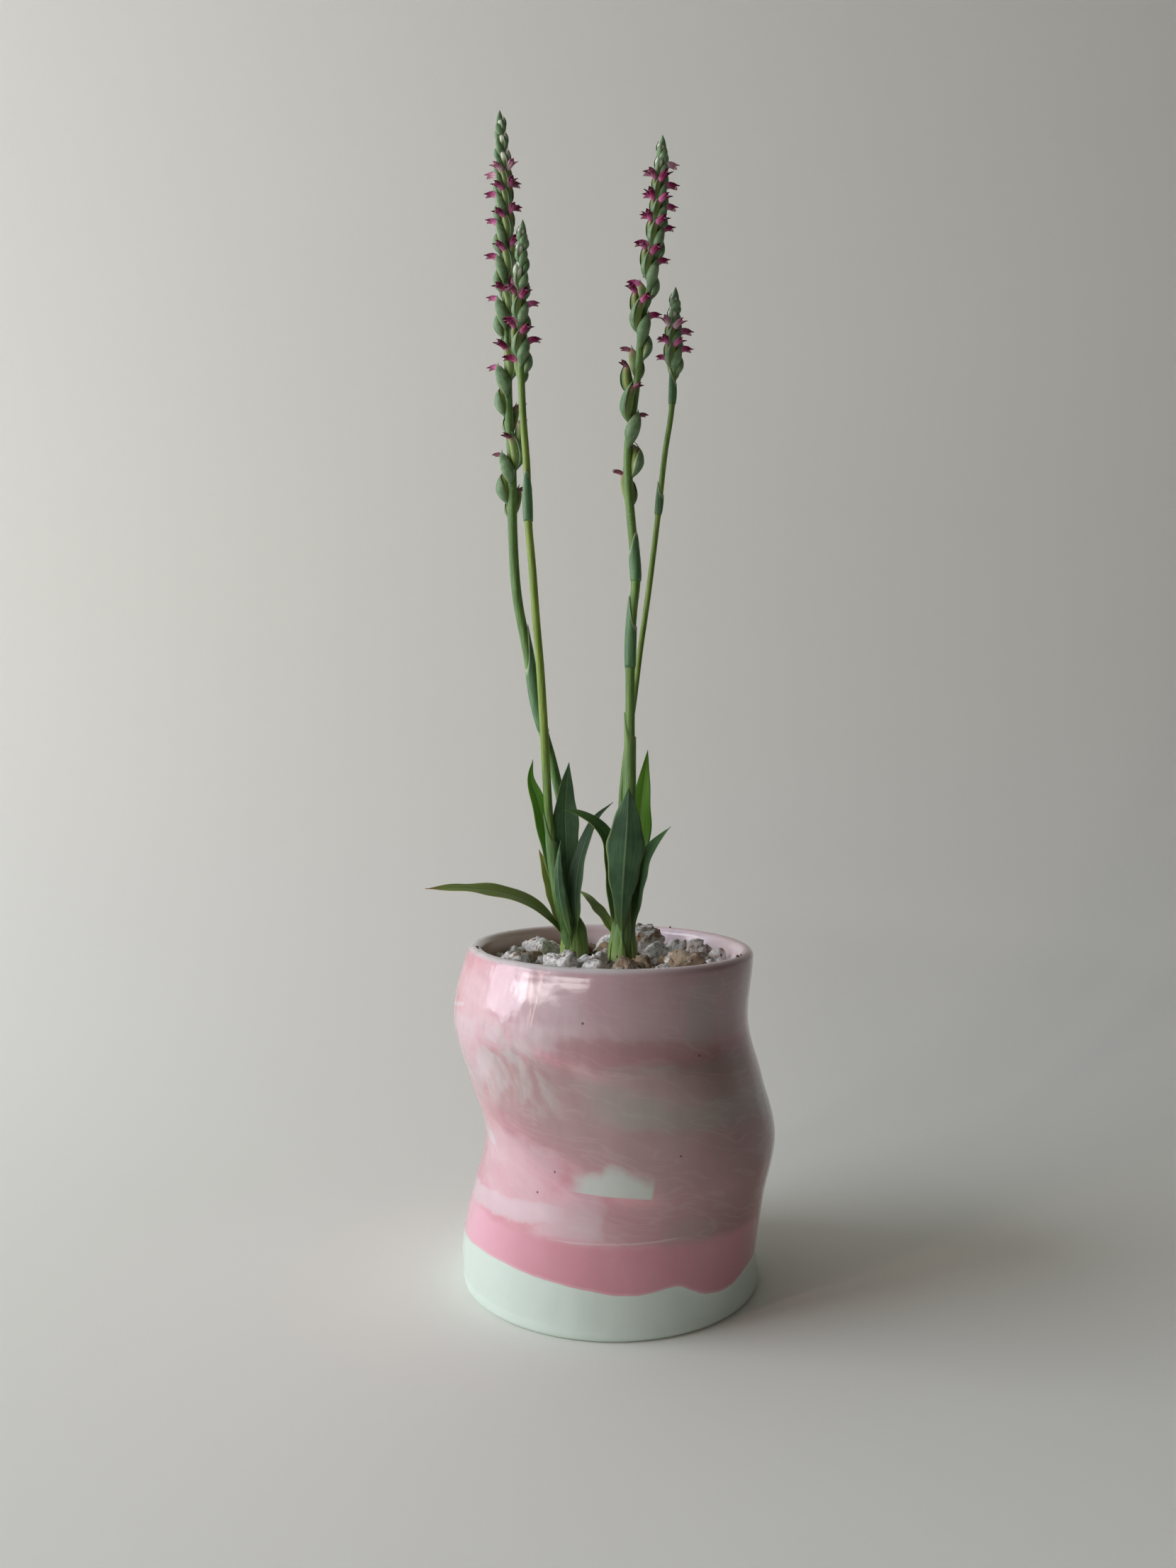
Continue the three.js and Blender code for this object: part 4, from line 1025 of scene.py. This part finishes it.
# %% [markdown]
# ## Flower stalks
#
# Each stalk is a slim tube along a measured line. Here and there a pointed sheath clasps it: a thin
# sheet rolled round the stalk, higher on one side, that starts at a ring. Two stalks also stand in a
# long loose sheath at their foot.
#
# The same table says how each spike grows: the heights of the turns of its spiral from the tip down,
# where the first flower stands, which way the spiral winds, the length and width of a flower at the
# tip and at the foot, and what share of the way down the buds open and the flowers wither.

# %% Stalk measures
STALKS = {
    "left_tall": dict(
        line=[
            (-10.4, 12.2, 82), (-10.9, 12.2, 101), (-12.8, 12.6, 122), (-15.2, 12.8, 145), (-19.2, 13, 163),
            (-23.7, 13, 179), (-27.0, 12.8, 198), (-30.3, 12.4, 216), (-31.6, 12, 235), (-31.9, 12, 257),
            (-32.9, 12, 276), (-33.2, 12, 294), (-33.9, 12, 311), (-34.2, 12, 329), (-34.6, 12, 346),
            (-35.6, 12, 370),
        ],
        radii=(1.65, 1.5, 0.7), turns=(369.5, 364, 358, 352.6, 347, 339, 328.7, 316.7, 300, 272, 246),
        first=-20, hand=-1, length=(4.6, 10.4), width=(2.4, 4.5), open=0.3, withered=0.86,
        sheaths=[(172, 207, -10)], yellow=0.15,
    ),
    "left_short": dict(
        line=[
            (-12.3, 8.9, 82), (-12.9, 8.8, 100), (-15.6, 7.6, 115), (-17.9, 6.8, 129), (-19.6, 5.8, 143),
            (-20.7, 4.6, 161), (-21.4, 3.6, 175), (-22.5, 3, 193), (-23.6, 2.6, 206), (-24.9, 2.2, 224),
            (-26.1, 2, 238), (-26.6, 2, 255), (-27.9, 2, 273), (-28.4, 2, 290), (-28.2, 2, 310),
            (-27.7, 2, 331),
        ],
        radii=(1.5, 0.95, 0.6), turns=(330.5, 325, 318, 309.5, 299, 287),
        first=200, hand=1, length=(4.4, 8.6), width=(2.45, 3.4), open=0.5, withered=2,
        sheaths=[(238, 254, 265)], yellow=0.9,
    ),
    "right_tall": dict(
        line=[
            (4.6, 0.4, 82), (4.4, 0.2, 103), (4.4, 0, 116), (5.1, 0, 134), (5.8, 0, 152), (6.0, 0, 179),
            (6.1, 0, 200), (6.8, 0, 210), (7.7, 0, 219), (7.1, 0, 228), (6.3, 0, 237), (5.2, 0, 250),
            (5.3, 0, 262), (6.8, 0, 272), (8.4, 0, 285), (9.4, 0, 298), (12.0, 0, 311), (14.1, 0, 324),
            (15.2, 0, 339), (15.9, 0, 355.5),
        ],
        radii=(1.6, 1.3, 0.7), turns=(355.5, 350.5, 344, 337.5, 331, 322.5, 309, 286, 245),
        first=200, hand=1, length=(4.6, 10.5), width=(2.3, 4.4), open=0.155, withered=0.8,
        sheaths=[(192, 214.5, 190), (219, 234, -50)], yellow=0.25,
    ),
    "right_short": dict(
        line=[
            (2.9, 4.3, 82), (2.8, 4.8, 101), (2.7, 5.6, 116), (2.9, 6, 134), (3.6, 6, 152), (5.1, 6, 166),
            (7.3, 6.4, 181), (9.3, 7, 197), (12.0, 7.8, 216), (15.3, 8, 243), (17.3, 8, 261), (19.3, 8, 274),
            (19.9, 8, 285), (20.0, 8, 297), (20.6, 8, 312.5),
        ],
        radii=(1.0, 0.85, 0.6), turns=(312, 307, 301.5, 296, 290.5),
        first=200, hand=1, length=(4.2, 7.6), width=(2.5, 3.1), open=0.5, withered=2,
        sheaths=[(241.5, 252, 175), (276.5, 287.5, 200)], yellow=0.6,
    ),
}
STALK_FOOT = 84
# The loose sheath at the foot of two stalks: its shape, and marks for the finish
LOOSE_SHEATHS = {
    "left_short": ((97, 146, 180, 0.7, 0.8), dict(yellow=0.5, sheathed=0.4)),
    "right_tall": ((97, 178, 160, 0.3, 0.9), dict(yellow=0.55, sheathed=0.3)),
}
print(sum(5 * (len(s["turns"]) - 1) for s in STALKS.values()), "flowers and buds")

# %% Stalk skin
def stalk_radius(stalk, z):
    base, upper, tip = stalk["radii"]
    top, spike_foot = stalk["turns"][0], stalk["turns"][-1]
    below = base + (upper - base) * (z - STALK_FOOT) / spike_foot
    return below + (tip - below) * np.clip((z - spike_foot) / (top - spike_foot), 0, 1)


def stalk_skin(stalk):
    """The round stalk, a little ribbed, with a swelling at the ring of each sheath."""
    z = np.arange(STALK_FOOT, stalk["turns"][0] - 2.5, 1.3)
    rings = sum(np.exp(-(((z - start) / 0.8) ** 2)) for start, _, _ in stalk["sheaths"])
    around = circle(20)
    ribbed = 1 + 0.035 * np.cos(7 * around[None] + z[:, None] * 0.02)
    reach = (stalk_radius(stalk, z) + 0.14 * rings)[:, None] * ribbed
    spots = climbing(stalk["line"])(z)[:, None]
    return loft(spots + reach[..., None] * level_way(around), ring=rings[:, None])


def sheath_skin(stalk, start, end, side, slack=0.14, low=0.55):
    """A thin sheath round the stalk, with its point on one side; low is its height on the other."""
    v = np.linspace(0, 1, 22)[:, None]
    swing = np.linspace(-math.pi, math.pi, 25)[None]
    height = low + (1 - low) * ((1 + np.cos(swing)) / 2) ** 3
    z = start + (end - start) * v * height
    spots = climbing(stalk["line"])(z.reshape(-1)).reshape(*z.shape, 3)
    loose = 0.12 + slack * np.sin(np.pi * np.minimum(v * 1.15, 1)) ** 0.7 + 0.25 * v * height
    reach = stalk_radius(stalk, z) + loose
    middle = spots + reach[..., None] * level_way(math.radians(side) + swing)
    edge = soft_step((1 - v) * (end - start) * height, 1.6, 0.2)
    return sheet(middle, 0.32 * (1 - 0.6 * v), edge=edge, sheathed=1.0)

# %% Stalk finish
stem = Finish("stalk", IOR=1.45)
spot, x, y, z = stem.place()
yellow, ring, sheathed, edge = stem.marks("yellow", "ring", "sheathed", "edge")
streak = stem.cloud(stem.vector(x * 3.0, y * 3.0, z * 0.16), 2.0, 3.0, 0.6)
stem.paint = stem.mix(stem.rise(streak, 0.35, 0.66), "406834", "628948")
light = stem.rise(streak, 0.3, 0.7)
upper = stem.rise(z, 150.0, 175.0) * stem.rise(z, 285.0, 250.0)
stem.coat(stem.mix(light, "6f8b30", "93a846"), yellow * (0.35 + upper * 0.6))
stem.coat(stem.mix(light, "416949", "5f885d"), sheathed * 0.7)
stem.coat("c3cda6", edge * sheathed * 0.5)
stem.coat("41552f", 0.55, ring, 0.55, 0.95)
hair = stem.cloud(spot, 0.55, 2.0, 0.8)
stem.coat("cfdcc4", stem.rise(z, 200.0, 250.0) * 0.25, hair, 0.58, 0.7)
stem.set(Base_Color=stem.paint, Roughness=0.38 + streak * 0.15, Normal=stem.bump(streak, 0.1))

for name, stalk in STALKS.items():
    green = Heap()
    green.add(stalk_skin(stalk), yellow=stalk["yellow"])
    for sheath in stalk["sheaths"]:
        green.add(sheath_skin(stalk, *sheath))
    if name in LOOSE_SHEATHS:
        shape, marks = LOOSE_SHEATHS[name]
        green.add(sheath_skin(stalk, *shape), **marks)
    green.piece(name + "_stalk", [stem], "flower_spike", [name + "_spike"])

# %% [markdown]
# ## The spiral of flowers
#
# Five flowers stand in each turn of the spiral. A flower has three parts. The ovary is the plump ribbed
# body that later holds the seeds, and it leans along the spiral. The bract is a pointed scale that
# clasps the ovary on its trailing side. The floret is the small pink tube at the top, with a hood, two
# narrow sepals beside it and a crisp lip. The same rule and the same seeds place them as in the CAD
# source. The finer flowers are a little slimmer than their plain CAD solids, most of all near the tip.

# %% One flower's place
OVARY_TWIST = 0.9
UNITS_PER_TURN = 5
SLIM, LESS_SLIM = 0.84, 0.2
FACING = (0.72, 0.62, 0.2)
UP = np.array([0.0, 0.0, 1.0])


def flowers(stalk, seed):
    """Where each flower of a stalk stands, from the tip down, and how large it is."""
    draw = seeded(seed)
    axis = climbing(stalk["line"])
    last = len(stalk["turns"]) - 1
    height = smooth(range(last + 1), stalk["turns"])
    found = []
    for i in range(last * UNITS_PER_TURN):
        turn = i / UNITS_PER_TURN
        down, young = turn / last, min(1, turn / 2)

        def full(ends, least, late=1.0):
            """A size between those at the tip and at the foot, and a little less in a bud."""
            grown = ends[0] + (ends[1] - ends[0]) * down ** late
            return grown * (least + (1 - least) * young) * (0.94 + 0.12 * draw())

        degrees = stalk["first"] + stalk["hand"] * (360 * turn + 10 * (draw() - 0.5))
        length = full(stalk["length"], 0.85)
        width = full(stalk["width"], 0.92, 1.9) * (1 + (SLIM - 1 + LESS_SLIM * down) * young)
        foot_height = height(turn)[0, 0] - length - 1.1 * (1 - young)
        found.append(dict(
            foot=axis(foot_height)[0], angle=math.radians(degrees), hand=stalk["hand"],
            stem=stalk["radii"][2] + (stalk["radii"][1] - stalk["radii"][2]) * down,
            length=length, width=width, reach=0.5 + 0.5 * young, young=1 - young,
            open=down >= stalk["open"], old=down > stalk["withered"],
            fresh=max(0.0, 1 - (down - stalk["open"]) / 0.12),
        ))
    return found

# %% Ovary and bract
# Up an ovary and its bract: half its girth, how far its middle leans out, and how far round it, in
# degrees, the bract reaches on each side
BODY_RISE = [-0.06, 0.1, 0.34, 0.58, 0.78, 0.92, 1.0]
GIRTH = smooth(BODY_RISE, [0.07, 0.3, 0.5, 0.5, 0.42, 0.25, 0.06])
AWAY = smooth(BODY_RISE, [-0.1, 0.14, 0.32, 0.37, 0.38, 0.35, 0.31])
SPREAD = smooth([-0.12, 0.08, 0.3, 0.55, 0.8, 0.95, 1.12], [46, 64, 73, 65, 44, 22, 3])


def body_points(flower, v, girth, turn):
    """Points at shares v of a flower's height and angles turn round its body's own middle line."""
    angle = flower["angle"] - flower["hand"] * OVARY_TWIST * (1 - np.clip(v, 0, 1.1) ** 2)
    out, beside = level_way(angle), level_way(angle + math.pi / 2) * flower["hand"]
    away = (flower["stem"] + AWAY(v.reshape(-1)).reshape(v.shape) * flower["width"]) * flower["reach"]
    wide = girth * flower["width"]
    outward = away + 0.88 * wide * np.cos(turn)
    across = outward[..., None] * out + (wide * np.sin(turn))[..., None] * beside
    return flower["foot"] + across + (v * flower["length"])[..., None] * UP


def ovary_skin(flower):
    v = np.array([-0.06, 0.0, 0.07, 0.16, 0.28, 0.4, 0.52, 0.64, 0.75, 0.84, 0.91, 0.96, 1.0])[:, None]
    turn = circle(12)[None] * np.ones_like(v)
    ribs = np.cos(3 * turn + 2.4 * v)
    girth = GIRTH(v[:, 0])[:, :1] * (1 + 0.07 * ribs * soft_step(v, 0.05, 0.3))
    return loft(body_points(flower, v * np.ones_like(turn), girth, turn), rib=ribs, up=v)


def bract_skin(flower):
    v, u = np.meshgrid(np.linspace(-0.12, 1.12, 15), np.linspace(-1, 1, 9), indexing="ij")
    girth = GIRTH(np.clip(v[:, 0], -0.06, 1))[:, :1]
    # Above the ovary's shoulder the bract stands free and narrows slowly.
    free = GIRTH(0.76)[0, 0] * (1 - 1.7 * np.clip(v - 0.76, 0, 1))
    girth = np.maximum(girth, np.where(v > 0.76, free, 0.12))
    spread = np.radians(SPREAD(v[:, 0])[:, :1]) * (1 + 0.3 * flower["young"])
    turn = math.radians(-50) + u * spread
    proud = 1.06 + 0.1 * np.abs(u) ** 3 * soft_step(v, 0.1, 0.5)
    middle = body_points(flower, v, girth * proud + 0.1 / flower["width"], turn)
    thick = (0.24 - 0.16 * u**2) * (1 - 0.5 * np.clip(v, 0, 1))
    return sheet(middle, thick, up=v, edge=np.abs(u))


def tip_skin(stalk):
    """The pointed bud at the end of a spike."""
    rise = np.array([-6.4, -5.6, -4.8, -3.9, -3.0, -2.1, -1.1, -0.2, 0.6, 1.3])
    radius = np.array([0.1, 0.6, 1.0, 1.22, 1.27, 1.18, 0.96, 0.68, 0.36, 0.05])
    top = stalk["turns"][0]
    spots = climbing(stalk["line"])(top + np.minimum(rise, -0.2))
    spots[:, 2] = top + rise
    return loft(spots[:, None] + radius[:, None, None] * level_way(circle(12)), up=0.5, edge=0.0)

# %% Floret
def floret_parts(flower, size, lift, shut=0.0):
    """The tube, hood, sepals and lip of one floret, 4 mm long; shut folds in an old or a young one."""
    angle = flower["angle"]
    out, beside = level_way(angle), level_way(angle + math.pi / 2) * flower["hand"]
    throat = flower["foot"] + out * (flower["stem"] + 0.34 * flower["width"]) * flower["reach"]
    throat = throat + UP * 0.9 * flower["length"]
    facing = unit(FACING[0] * out + FACING[1] * beside + (FACING[2] + lift) * UP)
    side = unit(np.cross(facing, UP))
    rise = np.cross(side, facing)

    def spots(forward, across, upward):
        f, a, r = (k[..., None] for k in np.broadcast_arrays(forward, across, upward))
        return throat + size * (f * facing + a * side + r * rise)

    def arch(forward):
        """The tube rises a little and bends down again, like a duck's bill."""
        return 0.42 * np.sin(np.clip(forward, -0.6, 4.6) * 0.72) + 0.05

    # Tube, with the mouth turned in
    forward = np.array([-0.7, -0.3, 0.2, 0.8, 1.5, 2.2, 2.8, 3.15, 3.1, 2.6])[:, None]
    radius = np.array([0.15, 0.5, 0.76, 0.9, 0.86, 0.76, 0.7, 0.74, 0.58, 0.35])[:, None]
    radius, turn = radius * (1 - 0.3 * shut), circle(12)[None]
    tube = spots(forward, 0.9 * radius * np.sin(turn), arch(forward) + 1.1 * radius * np.cos(turn))
    yield loft(tube, tip=np.clip(forward / 4.2, 0, 1)), 0.0

    # Hood over the mouth, narrowing to a point
    v, u = np.linspace(0, 1, 8)[:, None], np.linspace(-1, 1, 7)[None]
    bend = u * (1.25 * (1 - v**1.8) + 0.03)
    radius = (0.84 - 0.34 * v) * (1 - 0.25 * shut)
    forward = 1.9 + 2.3 * v
    hood = spots(forward, radius * np.sin(bend), arch(forward) + radius * np.cos(bend) - 0.12 * v**2)
    yield sheet(hood, 0.12 * size, tip=0.45 + 0.55 * v), 0.0

    # Two narrow sepals that lie along the tube; only their tips part
    for hand in (-1, 1):
        forward = 0.7 + (3.45 - 0.3 * shut) * v
        across = hand * (0.7 + 0.1 * v + (0.6 - 0.5 * shut) * v**3.2)
        upward = arch(forward) - 0.2 - 0.18 * v**2
        wide = 0.4 * np.sin(np.pi * np.clip(0.14 + 0.84 * v, 0, 1)) ** 0.8
        blade = spots(forward, across + 0.08 * hand * u * u * v, upward + wide * u)
        yield sheet(blade, 0.11 * size, tip=0.3 + 0.7 * v), 0.0

    # The lip: a tongue that curls down, wider and toothed at its end
    if shut < 0.6:
        drop = np.clip(v - 0.3, 0, 1)
        wide = 0.4 + 0.22 * np.sin(np.pi * np.clip(v * 1.1 - 0.25, 0, 1))
        teeth = 0.16 * np.cos(u * 9.5) * soft_step(v, 0.8, 1.0)
        forward = 2.3 + 1.75 * v - 0.55 * drop**2 + teeth
        upward = arch(2.8) - 0.5 - 1.25 * drop**1.5 + 0.16 * u**2
        yield sheet(spots(forward, wide * u, upward - teeth), 0.11 * size, tip=0.15 + 0.55 * v), 1.0

# %% [markdown]
# Three finishes colour a flower. The ovary is olive with darker furrows, the bract grey-green with a
# thin pale margin, and both have short pale hairs. The floret runs from pink at its foot to deep
# magenta at its tips, with a paler lip. Buds are nearly white, and old florets turn brown.

# %% Flower finishes
bract = Finish("bract", IOR=1.45)
spot = bract.place()[0]
edge, up = bract.marks("edge", "up")
blotch = bract.cloud(spot, 2.4, 3.0, 0.6)
hair = bract.cloud(spot, 0.5, 2.0, 0.8)
veins = bract.cloud(bract.vector(edge * 7.0, up * 1.2, blotch), 1.0, 1.0)
bract.paint = bract.mix(bract.rise(blotch, 0.3, 0.7), "577a51", "7f9a72")
bract.coat("46683f", 0.3, veins, 0.5, 0.62)
bract.coat("47693c", 0.4, up, 0.3, -0.05)
bract.coat("bccaa6", 0.6, edge, 0.86, 0.98)
bract.coat("b9cbb2", 0.22, hair, 0.57, 0.7)
bract.set(Base_Color=bract.paint, Roughness=0.42 + blotch * 0.14, Normal=bract.bump(hair, 0.08))

pod = Finish("ovary", IOR=1.45)
spot = pod.place()[0]
rib, up, pale = pod.marks("rib", "up", "pale")
blotch = pod.cloud(spot, 2.0, 3.0, 0.6)
hair = pod.cloud(spot, 0.5, 2.0, 0.8)
pod.paint = pod.mix(pod.rise(rib + (blotch - 0.5), -0.5, 0.7), "587238", "84964c")
pod.coat("b98f8a", 0.55, up + blotch * 0.2, 0.75, 1.05)
pod.coat("dfe3d2", pale, up, 0.35, 0.8)
pod.coat("ccd8b4", 0.2, hair, 0.58, 0.7)
pod.set(Base_Color=pod.paint, Roughness=0.4 + blotch * 0.14, Normal=pod.bump(hair, 0.06))

petal = Finish("petal", IOR=1.33)
spot = petal.place()[0]
tip, lip, old, pale, tone = petal.marks("tip", "lip", "old", "pale", "tone")
veins = petal.cloud(spot, 0.8, 3.0, 0.6)
blush = petal.rise(tip + (veins - 0.5) * 0.3 + (tone - 0.5) * 0.5, 0.0, 0.75)
petal.paint = petal.mix(blush, "cc78a5", "8a1a50")
petal.coat("480b2a", 0.8, tip + (tone - 0.5) * 0.2, 0.6, 0.92)
petal.coat("ecb9d4", lip * 0.45)
petal.coat(petal.mix(petal.rise(tip, 0.2, 0.9), "f0e4e6", "dd93b4"), pale * 0.75)
petal.coat(petal.mix(tip, "96606a", "4f2530"), old * 0.8)
petal.set(Base_Color=petal.paint, Roughness=0.34 + veins * 0.16, Normal=petal.bump(veins, 0.08))
print("flower finishes made")

# %% Spikes
for i, (name, stalk) in enumerate(STALKS.items()):
    rng = np.random.default_rng(40 + i)
    green, pink = Heap(), Heap()
    green.add(tip_skin(stalk))
    for flower in flowers(stalk, 100 + i):
        green.add(ovary_skin(flower), 1, pale=float(not flower["open"]) * 0.9)
        green.add(bract_skin(flower))
        tone, lift = rng.random(), rng.uniform(-0.1, 0.25)
        if not flower["open"]:
            continue
        size, shut = (0.95, 0.75) if flower["old"] else (1.0 + 0.12 * tone, 0.0)
        marks = dict(old=float(flower["old"]), pale=flower["fresh"] * 0.8, tone=tone)
        for skin, lip in floret_parts(flower, size, lift, shut):
            pink.add(skin, lip=lip, **marks)
    green.piece(name + "_bracts", [bract, pod], "flower_spike", [name + "_spike"])
    pink.piece(name + "_florets", [petal], "flower_spike", [name + "_spike"])
